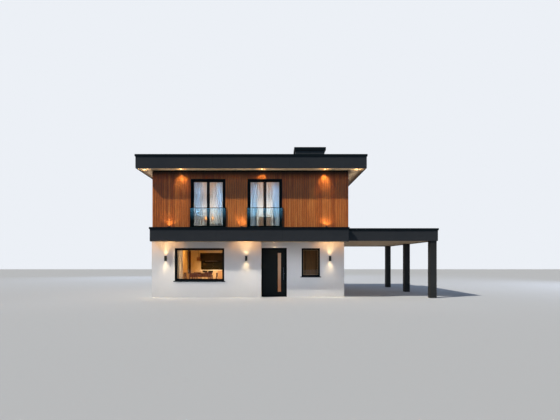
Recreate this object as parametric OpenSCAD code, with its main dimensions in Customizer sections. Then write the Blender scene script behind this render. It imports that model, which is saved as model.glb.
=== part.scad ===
// Two-storey detached house with a flat roof, a front canopy and an attached carport.
// Millimetres, +Z up, front towards -Y. The origin is at ground level,
// in the plan centre of the ground floor.

/* [Ground floor] */
// Width of the ground floor over its side walls
house_w = 8650; // [8300:50:10500]
// Depth of the house, front wall to rear wall
house_d = 8400; // [8000:50:10000]
// Thickness of the outer walls
wall_t = 300; // [260:10:360]
// Thickness of the ground floor slab
floor_t = 80; // [60:5:100]
// Height of the ground floor walls
ground_h = 2700; // [2640:10:2900]
// Depth of the entrance recess behind the front wall
recess_d = 450; // [350:10:700]
// From the left wall's face to the start of the recess
recess_from_left = 4884; // [4700:10:5200]

/* [Upper storey] */
// Thickness of the upper floor with its screed
upper_floor_t = 400; // [360:10:450]
// Height of the upper walls above their floor
upper_h = 2597; // [2500:10:2900]
// How far the upper left wall stands inside the lower one
upper_left_set = 22; // [0:2:60]
// How far the upper right wall stands out past the lower one
upper_right_jut = 130; // [60:5:200]

/* [Roof] */
// Overhang of the roof at the front
roof_over_front = 633; // [450:5:800]
// Overhang of the roof at the rear
roof_over_rear = 633; // [450:5:800]
// Overhang of the roof on the left
roof_over_left = 566; // [400:5:800]
// Overhang of the roof on the right
roof_over_right = 693; // [500:5:800]
// Height of the roof fascia with its coping
roof_edge_h = 606; // [560:5:700]
// Thickness of the roof slab
roof_t = 280; // [220:10:320]

/* [Fascias and copings] */
// Thickness of the sheet-clad fascia boards
fascia_t = 40; // [30:2:60]
// Thickness of the soffit boards
soffit_t = 20; // [12:1:30]
// How far a fascia hangs below its soffit
drip = 20; // [10:1:30]
// Height of the coping's face
coping_h = 90; // [60:5:120]
// How far a coping stands out from the fascia
coping_out = 30; // [15:1:45]
// Thickness of the coping over the top of a fascia
coping_t = 20; // [10:1:30]
// Width of the parapet upstand behind a fascia
upstand_w = 140; // [100:5:200]

/* [Canopy] */
// How far the canopy's underside lies below the top of the ground floor walls
canopy_drop = 212; // [200:2:240]
// How far the canopy's top stands above the upper floor
canopy_rise = 7; // [0:1:20]
// Overhang of the canopy in front of the front wall
canopy_over = 650; // [500:10:900]
// From the left wall's face in to the canopy's left end
canopy_left_in = 80; // [20:5:150]
// How far the canopy runs past the right wall's face
canopy_right_out = 40; // [20:5:60]
// Thickness of the band that runs round between the storeys
belt_t = 20; // [15:1:30]

/* [Carport] */
// Width of the carport from the ground floor's right wall
carport_w = 4020; // [3500:20:5000]
// From the front wall forward to the carport's fascia
carport_front = 300; // [200:10:450]
// Depth of the carport roof, front to rear
carport_d = 8600; // [7000:50:8650]
// How far the carport's underside lies below the top of the ground floor walls
carport_drop = 180; // [165:5:200]
// How far the carport's top lies below the canopy's
carport_step = 28; // [10:2:60]
// Thickness of the carport's roof deck
carport_deck_t = 260; // [200:10:300]
// Width of a carport column
column_w = 282; // [200:2:320]
// Depth of a carport column
column_d = 340; // [200:5:400]

/* [Chimney] */
// Width of the chimney block
chimney_w = 1480; // [900:10:1700]
// Depth of the chimney block
chimney_d = 900; // [600:10:1300]
// Height of the chimney above the roof coping, cap included
chimney_rise = 1170; // [800:10:1500]
// From the left wall's face to the chimney
chimney_from_left = 6547; // [6000:10:6600]
// From the front wall's face to the chimney
chimney_from_front = 3000; // [2400:10:4000]
// Thickness of the chimney cap
chimney_cap_t = 148; // [80:2:200]
// How far the chimney cap stands out
chimney_cap_out = 66; // [30:2:100]

/* [Front door] */
// Width of the doorway
doorway_w = 1155; // [1050:5:1250]
// Height of the doorway above the ground
doorway_h = 2233; // [2150:1:2300]
// Width of the door frame's members
door_frame_w = 60; // [45:1:75]
// Depth of the door frame
door_frame_d = 80; // [70:1:100]
// How far the door frame stands back from the wall's face
door_set = 30; // [0:5:80]
// Thickness of the door leaf
leaf_t = 68; // [60:1:80]
// Running gap round the door leaf
leaf_gap = 5; // [5:0.5:8]
// Height of the threshold above the floor
threshold_up = 5; // [3:1:10]
// Width of the upright glass strip in the leaf
strip_w = 145; // [100:5:200]
// Height of the glass strip
strip_h = 1773; // [1400:1:1850]
// From the leaf's hinge edge to the glass strip
strip_from_hinge = 678; // [600:1:700]
// From the bottom of the leaf to the glass strip
strip_up = 137; // [100:1:180]
// From the leaf's hinge edge to the upright groove in its face
groove_from_hinge = 483; // [400:1:550]
// Length of the bar handle
handle_l = 560; // [400:10:800]
// Diameter of the bar handle
handle_dia = 32; // [25:1:40]
// From the glass strip to the bar handle
handle_from_strip = 114; // [90:1:140]
// Height of the bar handle's centre
handle_z = 1060; // [1000:5:1150]
// Radius of a hinge's knuckle
knuckle_r = 11; // [9:0.5:13]
// Radius of a hinge's pin
pin_r = 5; // [4:0.5:6]
// Radial clearance of a hinge's pin
pin_clear = 0.05; // [0.02:0.01:0.1]
// Height of one hinge knuckle
knuckle_h = 50; // [40:1:60]

/* [Wide windows] */
// Width of a wide window
wide_w = 2214; // [1800:2:2400]
// Height of a wide window
wide_h = 1469; // [1200:1:1500]
// Height of a wide window's bottom above the ground
wide_z = 742; // [650:1:900]
// From the left wall's face to the front wide window
wide_from_left = 1018; // [800:2:1300]
// Width of a wide window's frame members
wide_face = 90; // [60:1:110]

/* [Small windows] */
// Width of a small window
small_w = 840; // [700:5:950]
// Height of a small window
small_h = 1296; // [1000:1:1350]
// Height of a small window's bottom above its storey's base
small_z = 922; // [850:1:950]
// From the doorway to the front small window
small_from_door = 674; // [500:1:800]
// Width of a small window's frame members
small_face = 70; // [50:1:85]
// From the rear wall's inner face to the small window in the left wall
small_from_rear = 190; // [100:5:600]
// From the front wall's face to the middle of the upper side windows
side_window_at = 4600; // [3500:10:5500]

/* [Tall windows] */
// Width of a tall window
tall_w = 1518; // [1300:2:1600]
// Height of a tall window
tall_h = 2187; // [2000:1:2250]
// From the left wall's face to the first tall window
tall_from_left = 1750; // [1500:10:1900]
// Spacing of the two tall windows, left edge to left edge
tall_pitch = 2536; // [2200:2:2900]
// Width of a tall window's fixed frame
tall_face = 50; // [40:1:60]
// Width of a casement's members
casement_face = 58; // [50:1:70]

/* [Window details] */
// Depth of a window frame
frame_d = 80; // [70:1:90]
// How far a window stands back from the wall's face
window_set = 60; // [30:5:90]
// Thickness of the glazing unit
glass_t = 24; // [20:1:30]
// How far the glass reaches into its frame
glass_bite = 14; // [8:1:16]
// Clearance round the glass in its groove
glass_clear = 2; // [1:0.5:4]
// Height of a window sill
sill_t = 35; // [25:1:50]
// How far a window sill stands out from the wall
sill_out = 40; // [20:5:60]
// How far a window sill runs past its window on each side
sill_past = 50; // [20:5:70]

/* [Glass guards] */
// Height of a glass guard above the band
guard_h = 913; // [850:1:1050]
// How far a guard runs past its window on each side
guard_past = 50; // [40:2:80]
// Width of a guard's side channel
channel_w = 25; // [20:1:40]
// Thickness of the guard's glass
guard_glass_t = 18; // [12:1:20]

/* [Lamps] */
// Diameter of a wall lamp
lamp_dia = 110; // [80:2:130]
// Height of a wall lamp
lamp_h = 230; // [160:5:300]
// Height of the wall lamps' centre
lamp_z = 1750; // [1600:10:1900]
// From the left wall's face to the first wall lamp
lamp_left_at = 629; // [500:1:750]
// From the left wall's face to the middle wall lamp
lamp_mid_at = 4219; // [3900:1:4400]
// From the right wall's face to the last wall lamp
lamp_right_in = 647; // [450:1:700]
// Diameter of a soffit spot's rim
spot_dia = 100; // [70:2:120]
// From the left wall's face to the first soffit spot
spot_left_at = 1365; // [900:1:1700]
// From the left wall's face to the middle soffit spot
spot_mid_at = 4928; // [4500:1:5300]
// From the right wall's face to the last soffit spot
spot_right_in = 950; // [600:1:1300]
// From the roof's front and rear edges to the spots in its side soffits
corner_spot_in = 417; // [250:1:600]
// Diameter of an upward spot on the canopy
up_dia = 90; // [70:2:110]
// From the left wall's face to the first upward spot
up_left_at = 810; // [500:1:1200]
// From the left wall's face to the middle upward spot
up_mid_at = 4013; // [3850:1:4050]
// From the right wall's face to the last upward spot
up_right_in = 862; // [500:1:1300]

/* [Ground floor room] */
// From the left wall's face to the dining table's centre
table_at = 1300; // [1290:5:1500]
// From the front wall's face to the dining table's centre
table_back = 5700; // [5400:10:5800]
// Length of the dining table
table_l = 1200; // [1100:10:1220]
// Width of the dining table
table_w = 850; // [800:10:950]
// Height of the dining table
table_h = 750; // [700:5:780]
// Width of a dining chair
chair_w = 430; // [400:5:440]
// Depth of a dining chair
chair_d = 460; // [420:5:480]
// Height of a dining chair's back
chair_h = 880; // [800:5:950]
// Height of a dining chair's seat
seat_h = 450; // [420:5:480]
// Diameter of the pendant lamp's shade
pendant_dia = 210; // [180:5:420]
// Height of the pendant lamp's shade
pendant_h = 220; // [160:5:260]
// Height of the pendant lamp above the table
pendant_up = 810; // [700:5:950]
// How far the pendant lamp hangs left of the table's centre
pendant_left = 150; // [0:10:200]
// From the left wall's face to the kitchen units
kitchen_at = 920; // [850:5:1000]
// Length of the kitchen units
kitchen_l = 2200; // [1800:10:2400]
// Depth of the kitchen base units
kitchen_d = 600; // [550:5:650]
// Height of the kitchen worktop above the floor
worktop_h = 1000; // [850:5:1000]
// From the worktop up to the wall cabinets
cabinet_up = 540; // [500:5:650]
// Height of the wall cabinets
cabinet_h = 490; // [400:5:600]
// Depth of the wall cabinets
cabinet_d = 350; // [300:5:400]
// Width of the drape beside the front wide window
drape_w = 350; // [250:10:450]

/* [Upper room] */
// Gap between the two curtains of a window
curtain_part = 40; // [20:5:80]
// Depth of a curtain's folds
curtain_t = 70; // [40:5:90]
// From the left wall's face to the sideboard
sideboard_at = 1160; // [900:10:1300]
// Width of the sideboard
sideboard_w = 1100; // [900:10:1300]
// Height of the sideboard
sideboard_h = 800; // [700:5:900]
// From the left wall's face to the chest of drawers
chest_at = 4505; // [4420:5:4560]
// Width of the chest of drawers
chest_w = 790; // [700:5:820]
// Height of the chest of drawers
chest_h = 1220; // [1000:5:1300]
// Depth of the sideboard and the chest of drawers
case_d = 430; // [380:5:480]
// Height of a table lamp
table_lamp_h = 440; // [360:5:520]
// Diameter of a table lamp's shade
table_lamp_dia = 230; // [180:5:280]

/* [Hidden] */
// Overshoot of a cutting solid past the face that it cuts
cut = 10;

// Plan lines of the ground floor
left_x = -house_w / 2;
right_x = house_w / 2;
front_y = -house_d / 2;
rear_y = house_d / 2;
recess_x = left_x + recess_from_left;
recess_y = front_y + recess_d;
doorway_x1 = recess_x + doorway_w;

// Levels and plan lines of the upper storey
upper_z = ground_h + upper_floor_t;
wall_top = upper_z + upper_h;
upper_x0 = left_x + upper_left_set;
upper_x1 = right_x + upper_right_jut;

// Roof
roof_x0 = upper_x0 - roof_over_left;
roof_x1 = upper_x1 + roof_over_right;
roof_y0 = front_y - roof_over_front;
roof_y1 = rear_y + roof_over_rear;
eaves_z = wall_top - soffit_t - drip;
roof_top = eaves_z + roof_edge_h;
roof_deck_z = wall_top + roof_t;

// Canopy and the band between the storeys
canopy_x0 = left_x + canopy_left_in;
canopy_x1 = right_x + canopy_right_out;
canopy_y0 = front_y - canopy_over;
canopy_z = ground_h - canopy_drop;
canopy_top = upper_z + canopy_rise;
belt_y0 = front_y - belt_t;
belt_x1 = upper_x1 + belt_t;
belt_z = canopy_z + drip;

// Carport
carport_x1 = right_x + carport_w;
carport_y0 = front_y - carport_front;
carport_y1 = carport_y0 + carport_d;
carport_z = ground_h - carport_drop;
carport_top = canopy_top - carport_step;
carport_soffit_z = carport_z + drip;
carport_deck_z = carport_soffit_z + soffit_t;

// Door set: the frame's stop is outside, the leaf opens inwards about its left edge
stop_w = 20;
stop_d = 20;
door_y = recess_y + door_set;
leaf_x0 = recess_x + door_frame_w + leaf_gap;
leaf_x1 = doorway_x1 - door_frame_w - leaf_gap;
leaf_y = door_y + stop_d + leaf_gap;
threshold_z = floor_t + threshold_up;
leaf_z0 = threshold_z + leaf_gap;
leaf_z1 = doorway_h - door_frame_w - leaf_gap;
hinge_x = recess_x + door_frame_w + leaf_gap / 2;
knuckle_off = 2;
hinge_y = leaf_y + leaf_t + knuckle_r + knuckle_off;
hinge_inset = 250;
hinge_zs = [leaf_z0 + hinge_inset, (leaf_z0 + leaf_z1) / 2, leaf_z1 - hinge_inset];
knuckle_gap = 0.3;
hinge_flap_t = 6;
hinge_flap_l = 34;
strip_x = leaf_x0 + strip_from_hinge;
strip_z = leaf_z0 + strip_up;
groove_x = leaf_x0 + groove_from_hinge;
leaf_groove = 4;
handle_off = 45;
handle_x = strip_x + strip_w + handle_from_strip;

// Windows: [left edge, face, base height, turn about Z] of each opening's left corner
groove_y = (frame_d - glass_t) / 2;
stepped = 12;
wide_front_x = left_x + wide_from_left;
wide_rear_x = right_x - wide_from_left;
small_front_x = doorway_x1 + small_from_door;
kitchen_window_y = rear_y - wall_t - small_from_rear;
side_window_y = front_y + side_window_at;
tall_xs = [left_x + tall_from_left, left_x + tall_from_left + tall_pitch];
wide_places = [[wide_front_x, front_y, wide_z, 0], [wide_rear_x, rear_y, wide_z, 180]];
small_places = [[small_front_x, recess_y, small_z, 0],
                [left_x, kitchen_window_y, small_z, -90],
                [upper_x0, side_window_y + small_w / 2, upper_z + small_z, -90],
                [upper_x1, side_window_y - small_w / 2, upper_z + small_z, 90]];
tall_places = [for (x = tall_xs) [x, front_y, upper_z, 0],
               for (x = tall_xs) [-x, rear_y, upper_z, 180]];

// Lamps
lamp_places = [[left_x + lamp_left_at, front_y], [left_x + lamp_mid_at, front_y],
               [right_x - lamp_right_in, recess_y]];
spot_xs = [left_x + spot_left_at, left_x + spot_mid_at, right_x - spot_right_in];
spot_y = (roof_y0 + front_y) / 2;
up_xs = [left_x + up_left_at, left_x + up_mid_at, right_x - up_right_in];

// Rooms
inner_x0 = left_x + wall_t;
inner_rear = rear_y - wall_t;
table_x = left_x + table_at;
table_y = front_y + table_back;
kitchen_x = left_x + kitchen_at;

wall_white = [0.84, 0.83, 0.81];
timber = [0.50, 0.30, 0.18];
anthracite = [0.18, 0.19, 0.20];
black_sheet = [0.07, 0.08, 0.09];
soffit_beige = [0.72, 0.68, 0.62];
concrete = [0.62, 0.62, 0.60];
frame_black = [0.05, 0.05, 0.06];
clear_glass = [0.65, 0.78, 0.85, 0.35];
furniture_brown = [0.36, 0.20, 0.10];

// A box given by two opposite corners
module box(a, b) { translate(a) cube(b - a); }

// A rectangular ring in plan, from the outer corners in by t
module plan_ring(x0, y0, x1, y1, z0, z1, t) {
    difference() {
        box([x0, y0, z0], [x1, y1, z1]);
        box([x0 + t, y0 + t, z0 - cut], [x1 - t, y1 - t, z1 + cut]);
    }
}

// Puts a window's parts in their opening: x along the wall, y inwards, z up
module at_window(p) { translate([p[0], p[1], p[2]]) rotate([0, 0, p[3]]) children(); }

// The hole that a window needs in its wall
module window_hole(w, h) { translate([0, -cut, 0]) cube([w, wall_t + 2 * cut, h]); }

// A window frame's ring with a stepped outer face and a groove for the glass
module grooved_ring(w, h, face, depth) {
    difference() {
        cube([w, depth, h]);
        translate([face, -cut, face]) cube([w - 2 * face, depth + 2 * cut, h - 2 * face]);
        translate([face - stepped, -cut, face - stepped])
            cube([w - 2 * (face - stepped), stepped + cut, h - 2 * (face - stepped)]);
        translate([face - glass_bite - glass_clear, (depth - glass_t) / 2, face - glass_bite - glass_clear])
            cube([w - 2 * (face - glass_bite - glass_clear), glass_t,
                  h - 2 * (face - glass_bite - glass_clear)]);
    }
}

// The glass that sits in a grooved ring
module pane(w, h, face, depth) {
    translate([face - glass_bite, (depth - glass_t) / 2, face - glass_bite])
        cube([w - 2 * (face - glass_bite), glass_t, h - 2 * (face - glass_bite)]);
}

// Ground floor
module ground_floor_slab() {
    color(concrete) union() {
        box([inner_x0, recess_y + wall_t, 0], [right_x - wall_t, inner_rear, floor_t]);
        box([inner_x0, front_y + wall_t, 0], [recess_x - wall_t, recess_y + wall_t, floor_t]);
        box([recess_x, door_y + door_frame_d, 0], [doorway_x1, recess_y + wall_t, floor_t]);
    }
}

module front_wall() {
    color(wall_white) difference() {
        box([left_x, front_y, 0], [recess_x - wall_t, front_y + wall_t, ground_h]);
        at_window(wide_places[0]) window_hole(wide_w, wide_h);
    }
}

module entrance_side_wall() {
    color(wall_white) box([recess_x - wall_t, front_y, 0], [recess_x, recess_y + wall_t, ground_h]);
}

module entrance_wall() {
    color(wall_white) difference() {
        box([doorway_x1, recess_y, 0], [right_x, recess_y + wall_t, ground_h]);
        at_window(small_places[0]) window_hole(small_w, small_h);
    }
}

module door_lintel() {
    color(wall_white) box([recess_x, recess_y, doorway_h], [doorway_x1, recess_y + wall_t, ground_h]);
}

module left_wall() {
    color(wall_white) difference() {
        box([left_x, front_y + wall_t, 0], [left_x + wall_t, rear_y - wall_t, ground_h]);
        at_window(small_places[1]) window_hole(small_w, small_h);
    }
}

module right_wall() {
    color(wall_white) box([right_x - wall_t, recess_y + wall_t, 0], [right_x, rear_y - wall_t, ground_h]);
}

module rear_wall() {
    color(wall_white) difference() {
        box([left_x, rear_y - wall_t, 0], [right_x, rear_y, ground_h]);
        at_window(wide_places[1]) window_hole(wide_w, wide_h);
    }
}

// Floor between the storeys
module upper_floor_slab() {
    color(concrete) box([left_x, front_y, ground_h], [upper_x1, rear_y, upper_z]);
}

// The canopy's core, without its coping
module canopy_core() {
    box([canopy_x0, canopy_y0, belt_z], [canopy_x1, belt_y0, canopy_top - coping_t]);
}

module canopy() {
    color(anthracite) union() {
        canopy_core();
        difference() {
            box([canopy_x0, canopy_y0, canopy_z], [canopy_x1, belt_y0, belt_z]);
            box([canopy_x0 + fascia_t, canopy_y0 + fascia_t, canopy_z - cut],
                [canopy_x1 - fascia_t, belt_y0 + cut, belt_z + cut]);
        }
    }
}

// Everything that the canopy's coping wraps, grown to its outer faces
module canopy_coping_block() {
    box([canopy_x0 - coping_out, canopy_y0 - coping_out, canopy_top - coping_h],
        [canopy_x1 + coping_out, belt_y0, canopy_top]);
}

module canopy_coping() {
    color(black_sheet) difference() {
        canopy_coping_block();
        canopy_core();
    }
}

// Dark band round the house between render and timber
module storey_belt() {
    color(anthracite) difference() {
        box([left_x - belt_t, belt_y0, belt_z], [belt_x1, rear_y + belt_t, canopy_top]);
        box([left_x, front_y, belt_z - cut], [right_x, rear_y, ground_h]);
        box([left_x, front_y, ground_h], [upper_x1, rear_y, upper_z]);
        box([upper_x0, front_y, upper_z], [upper_x1, rear_y, canopy_top + cut]);
    }
}

// Upper walls
module upper_front_wall() {
    color(timber) difference() {
        box([upper_x0, front_y, upper_z], [upper_x1, front_y + wall_t, wall_top]);
        for (i = [0, 1]) at_window(tall_places[i]) window_hole(tall_w, tall_h);
    }
}

module upper_rear_wall() {
    color(timber) difference() {
        box([upper_x0, rear_y - wall_t, upper_z], [upper_x1, rear_y, wall_top]);
        for (i = [2, 3]) at_window(tall_places[i]) window_hole(tall_w, tall_h);
    }
}

module upper_left_wall() {
    color(timber) difference() {
        box([upper_x0, front_y + wall_t, upper_z], [upper_x0 + wall_t, rear_y - wall_t, wall_top]);
        at_window(small_places[2]) window_hole(small_w, small_h);
    }
}

module upper_right_wall() {
    color(timber) difference() {
        box([upper_x1 - wall_t, front_y + wall_t, upper_z], [upper_x1, rear_y - wall_t, wall_top]);
        at_window(small_places[3]) window_hole(small_w, small_h);
    }
}

// Roof slab with its parapet upstand
module roof_slab() {
    color(concrete) difference() {
        box([roof_x0 + fascia_t, roof_y0 + fascia_t, wall_top],
            [roof_x1 - fascia_t, roof_y1 - fascia_t, roof_top - coping_t]);
        box([roof_x0 + fascia_t + upstand_w, roof_y0 + fascia_t + upstand_w, roof_deck_z],
            [roof_x1 - fascia_t - upstand_w, roof_y1 - fascia_t - upstand_w, roof_top]);
    }
}

module roof_soffit() {
    color(soffit_beige) difference() {
        box([roof_x0 + fascia_t, roof_y0 + fascia_t, wall_top - soffit_t],
            [roof_x1 - fascia_t, roof_y1 - fascia_t, wall_top]);
        box([upper_x0, front_y, wall_top - soffit_t - cut], [upper_x1, rear_y, wall_top + cut]);
    }
}

module roof_fascia() {
    color(anthracite)
        plan_ring(roof_x0, roof_y0, roof_x1, roof_y1, eaves_z, roof_top - coping_t, fascia_t);
}

module roof_coping() {
    color(black_sheet) difference() {
        plan_ring(roof_x0 - coping_out, roof_y0 - coping_out, roof_x1 + coping_out,
                  roof_y1 + coping_out, roof_top - coping_h, roof_top,
                  fascia_t + upstand_w + 2 * coping_out);
        plan_ring(roof_x0, roof_y0, roof_x1, roof_y1, roof_top - coping_h - cut, roof_top - coping_t,
                  fascia_t + upstand_w);
    }
}

// Chimney
chimney_x = left_x + chimney_from_left;
chimney_y = front_y + chimney_from_front;
chimney_top = roof_top + chimney_rise;

module chimney() {
    color(anthracite) box([chimney_x, chimney_y, roof_deck_z],
                          [chimney_x + chimney_w, chimney_y + chimney_d, chimney_top - chimney_cap_t / 2]);
}

module chimney_cap() {
    color(black_sheet) difference() {
        box([chimney_x - chimney_cap_out, chimney_y - chimney_cap_out, chimney_top - chimney_cap_t],
            [chimney_x + chimney_w + chimney_cap_out, chimney_y + chimney_d + chimney_cap_out,
             chimney_top]);
        box([chimney_x, chimney_y, chimney_top - chimney_cap_t - cut],
            [chimney_x + chimney_w, chimney_y + chimney_d, chimney_top - chimney_cap_t / 2]);
    }
}

// The carport's plan, in by t from its free edges, stopping at the canopy and the band
module carport_plan(t, z0, z1) {
    box([canopy_x1, carport_y0 + t, z0], [carport_x1 - t, belt_y0, z1]);
    box([belt_x1, belt_y0, z0], [carport_x1 - t, carport_y1 - t, z1]);
}

module carport_roof() {
    color(concrete) difference() {
        carport_plan(fascia_t, carport_deck_z, carport_top - coping_t);
        box([belt_x1 - cut, carport_y0 + fascia_t + upstand_w, carport_deck_z + carport_deck_t],
            [carport_x1 - fascia_t - upstand_w, carport_y1 - fascia_t - upstand_w, carport_top]);
        canopy_coping_block();
    }
}

module carport_fascia() {
    color(anthracite) difference() {
        carport_plan(0, carport_z, carport_top - coping_t);
        carport_plan(fascia_t, carport_z - cut, carport_top);
        canopy_coping_block();
    }
}

module carport_coping() {
    color(black_sheet) difference() {
        carport_plan(-coping_out, carport_top - coping_h, carport_top);
        carport_plan(0, carport_top - coping_h - cut, carport_top - coping_t);
        box([canopy_x1 - cut, carport_y0 + fascia_t + upstand_w + coping_out, carport_top - coping_h],
            [carport_x1 - fascia_t - upstand_w - coping_out,
             carport_y1 - fascia_t - upstand_w - coping_out, carport_top + cut]);
        canopy_coping_block();
    }
}

// Light soffit boards under the canopy with its recess, and under the carport
module lower_soffits() {
    color(soffit_beige) {
        union() {
            box([canopy_x0 + fascia_t, canopy_y0 + fascia_t, belt_z - soffit_t],
                [canopy_x1 - fascia_t, front_y, belt_z]);
            box([recess_x, front_y, belt_z - soffit_t], [right_x, recess_y, belt_z]);
        }
        carport_plan(fascia_t, carport_soffit_z, carport_deck_z);
    }
}

module carport_columns() {
    column_y0 = carport_y0 + fascia_t;
    column_y1 = carport_y1 - fascia_t - column_d;
    color(anthracite) for (y = [column_y0, (column_y0 + column_y1) / 2, column_y1])
        translate([carport_x1 - fascia_t - column_w, y, 0])
            cube([column_w, column_d, carport_soffit_z]);
}

// Front door: frame with its stop, threshold and the fixed halves of the hinges
module door_frame() {
    color(frame_black) union() {
        difference() {
            box([recess_x, door_y, 0], [doorway_x1, door_y + door_frame_d, doorway_h]);
            box([recess_x + door_frame_w, door_y + stop_d, threshold_z],
                [doorway_x1 - door_frame_w, door_y + door_frame_d + cut, doorway_h - door_frame_w]);
            box([recess_x + door_frame_w + stop_w, door_y - cut, threshold_z + stop_w],
                [doorway_x1 - door_frame_w - stop_w, door_y + stop_d + cut,
                 doorway_h - door_frame_w - stop_w]);
        }
        for (z = hinge_zs) {
            translate([hinge_x, hinge_y, z]) cylinder(h = 3 * knuckle_h, r = pin_r, center = true, $fn = 32);
            for (k = [-1, 1]) {
                translate([hinge_x, hinge_y, z + k * knuckle_h])
                    cylinder(h = knuckle_h - knuckle_gap, r = knuckle_r, center = true, $fn = 48);
                box([recess_x + door_frame_w - hinge_flap_l, door_y + door_frame_d,
                     z + k * knuckle_h - (knuckle_h - knuckle_gap) / 2],
                    [recess_x + door_frame_w, hinge_y, z + k * knuckle_h + (knuckle_h - knuckle_gap) / 2]);
            }
        }
    }
}

module door_leaf() {
    color(anthracite) difference() {
        union() {
            box([leaf_x0, leaf_y, leaf_z0], [leaf_x1, leaf_y + leaf_t, leaf_z1]);
            for (z = hinge_zs) {
                translate([hinge_x, hinge_y, z])
                    cylinder(h = knuckle_h - knuckle_gap, r = knuckle_r, center = true, $fn = 48);
                box([leaf_x0, leaf_y + leaf_t, z - (knuckle_h - knuckle_gap) / 2],
                    [leaf_x0 + hinge_flap_l, hinge_y, z + (knuckle_h - knuckle_gap) / 2]);
            }
        }
        for (z = hinge_zs) translate([hinge_x, hinge_y, z])
            cylinder(h = 4 * knuckle_h, r = pin_r + pin_clear, center = true, $fn = 48);
        box([strip_x, leaf_y - cut, strip_z], [strip_x + strip_w, leaf_y + leaf_t + cut, strip_z + strip_h]);
        box([groove_x - leaf_groove / 2, leaf_y - cut, leaf_z0 - cut],
            [groove_x + leaf_groove / 2, leaf_y + leaf_groove, leaf_z1 + cut]);
    }
}

module door_glass() {
    color(clear_glass) box([strip_x, leaf_y + (leaf_t - glass_t) / 2, strip_z],
                           [strip_x + strip_w, leaf_y + (leaf_t + glass_t) / 2, strip_z + strip_h]);
}

module door_handle() {
    color("silver") union() {
        translate([handle_x, leaf_y - handle_off, handle_z - handle_l / 2])
            cylinder(h = handle_l, d = handle_dia, $fn = 48);
        for (k = [-1, 1]) translate([handle_x, leaf_y, handle_z + k * handle_l / 3])
            rotate([90, 0, 0]) cylinder(h = handle_off, d = handle_dia / 2, $fn = 32);
    }
}

// Windows
module wide_window_frames() {
    color(frame_black) for (p = wide_places) at_window(p) translate([0, window_set, 0])
        grooved_ring(wide_w, wide_h, wide_face, frame_d);
}

module wide_window_glass() {
    color(clear_glass) for (p = wide_places) at_window(p) translate([0, window_set, 0])
        pane(wide_w, wide_h, wide_face, frame_d);
}

module small_window_frames() {
    color(frame_black) for (p = small_places) at_window(p) translate([0, window_set, 0])
        grooved_ring(small_w, small_h, small_face, frame_d);
}

module small_window_glass() {
    color(clear_glass) for (p = small_places) at_window(p) translate([0, window_set, 0])
        pane(small_w, small_h, small_face, frame_d);
}

// Slatted blind: head rail, tilted slats on two tapes, bottom rail
slat_pitch = 42;
slat_w = 40;
slat_t = 3;
slat_tilt = 55;
blind_rail = 45;
blind_in = 4;
tape_w = 25;
tape_in = 155;
module blind() {
    blind_w = small_w - 2 * blind_in;
    slat_n = floor((small_h - 2 * blind_rail - 2 * blind_in) / slat_pitch);
    union() {
        translate([blind_in, 0, small_h - blind_rail]) cube([blind_w, blind_rail, blind_rail]);
        translate([blind_in, blind_rail / 4, blind_in]) cube([blind_w, blind_rail / 2, blind_rail / 2]);
        for (x = [tape_in, small_w - tape_in - tape_w]) translate([x, (blind_rail - slat_t) / 2, blind_in])
            cube([tape_w, slat_t, small_h - blind_rail]);
        for (i = [1 : slat_n]) translate([blind_in, blind_rail / 2, blind_rail / 2 + i * slat_pitch])
            rotate([slat_tilt, 0, 0]) translate([0, -slat_w / 2, -slat_t / 2])
                cube([blind_w, slat_w, slat_t]);
    }
}

module window_blinds() {
    color(furniture_brown) for (p = small_places) at_window(p)
        translate([0, window_set + frame_d, 0]) blind();
}

// A sill: the lip outside the wall runs past the window, the rest lies in the opening
sill_nose = sill_t / 5;
sill_back = sill_t / 4;
sill_mid = sill_nose + (sill_back - sill_nose) * sill_out / (sill_out + window_set);
module sill(w) {
    rotate([90, 0, 90]) union() {
        linear_extrude(w) polygon([[-sill_out / 2, 0], [0, 0], [window_set, sill_nose],
            [window_set, sill_back], [0, sill_mid], [-sill_out / 2, sill_mid - (sill_mid - sill_nose) / 2]]);
        translate([0, 0, -sill_past]) linear_extrude(w + 2 * sill_past)
            polygon([[-sill_out, -sill_t], [0, -sill_t], [0, sill_mid], [-sill_out, sill_nose]]);
    }
}

module window_sills() {
    color(black_sheet) {
        for (p = wide_places) at_window(p) sill(wide_w);
        for (p = small_places) at_window(p) sill(small_w);
    }
}

// Tall windows: a fixed frame with an outer stop, two casements behind it
casement_gap = 3;
casement_w = (tall_w - 2 * tall_face - 3 * casement_gap) / 2;
casement_h = tall_h - 2 * tall_face - 2 * casement_gap;
casement_d = frame_d - stepped;
module tall_window_frames() {
    color(frame_black) for (p = tall_places) at_window(p) translate([0, window_set, 0]) difference() {
        cube([tall_w, frame_d, tall_h]);
        translate([tall_face, stepped, tall_face])
            cube([tall_w - 2 * tall_face, frame_d, tall_h - 2 * tall_face]);
        translate([tall_face + stepped, -cut, tall_face + stepped])
            cube([tall_w - 2 * (tall_face + stepped), frame_d, tall_h - 2 * (tall_face + stepped)]);
    }
}

// Moves a casement's parts to its place: side 0 is the left one
module at_casement(side) {
    translate([tall_face + casement_gap + side * (casement_w + casement_gap), window_set + stepped,
               tall_face + casement_gap]) children();
}

module tall_window_casements() {
    color(frame_black) for (p = tall_places) at_window(p) for (side = [0, 1])
        at_casement(side) grooved_ring(casement_w, casement_h, casement_face, casement_d);
}

module tall_window_glass() {
    color(clear_glass) for (p = tall_places) at_window(p) for (side = [0, 1])
        at_casement(side) pane(casement_w, casement_h, casement_face, casement_d);
}

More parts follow.
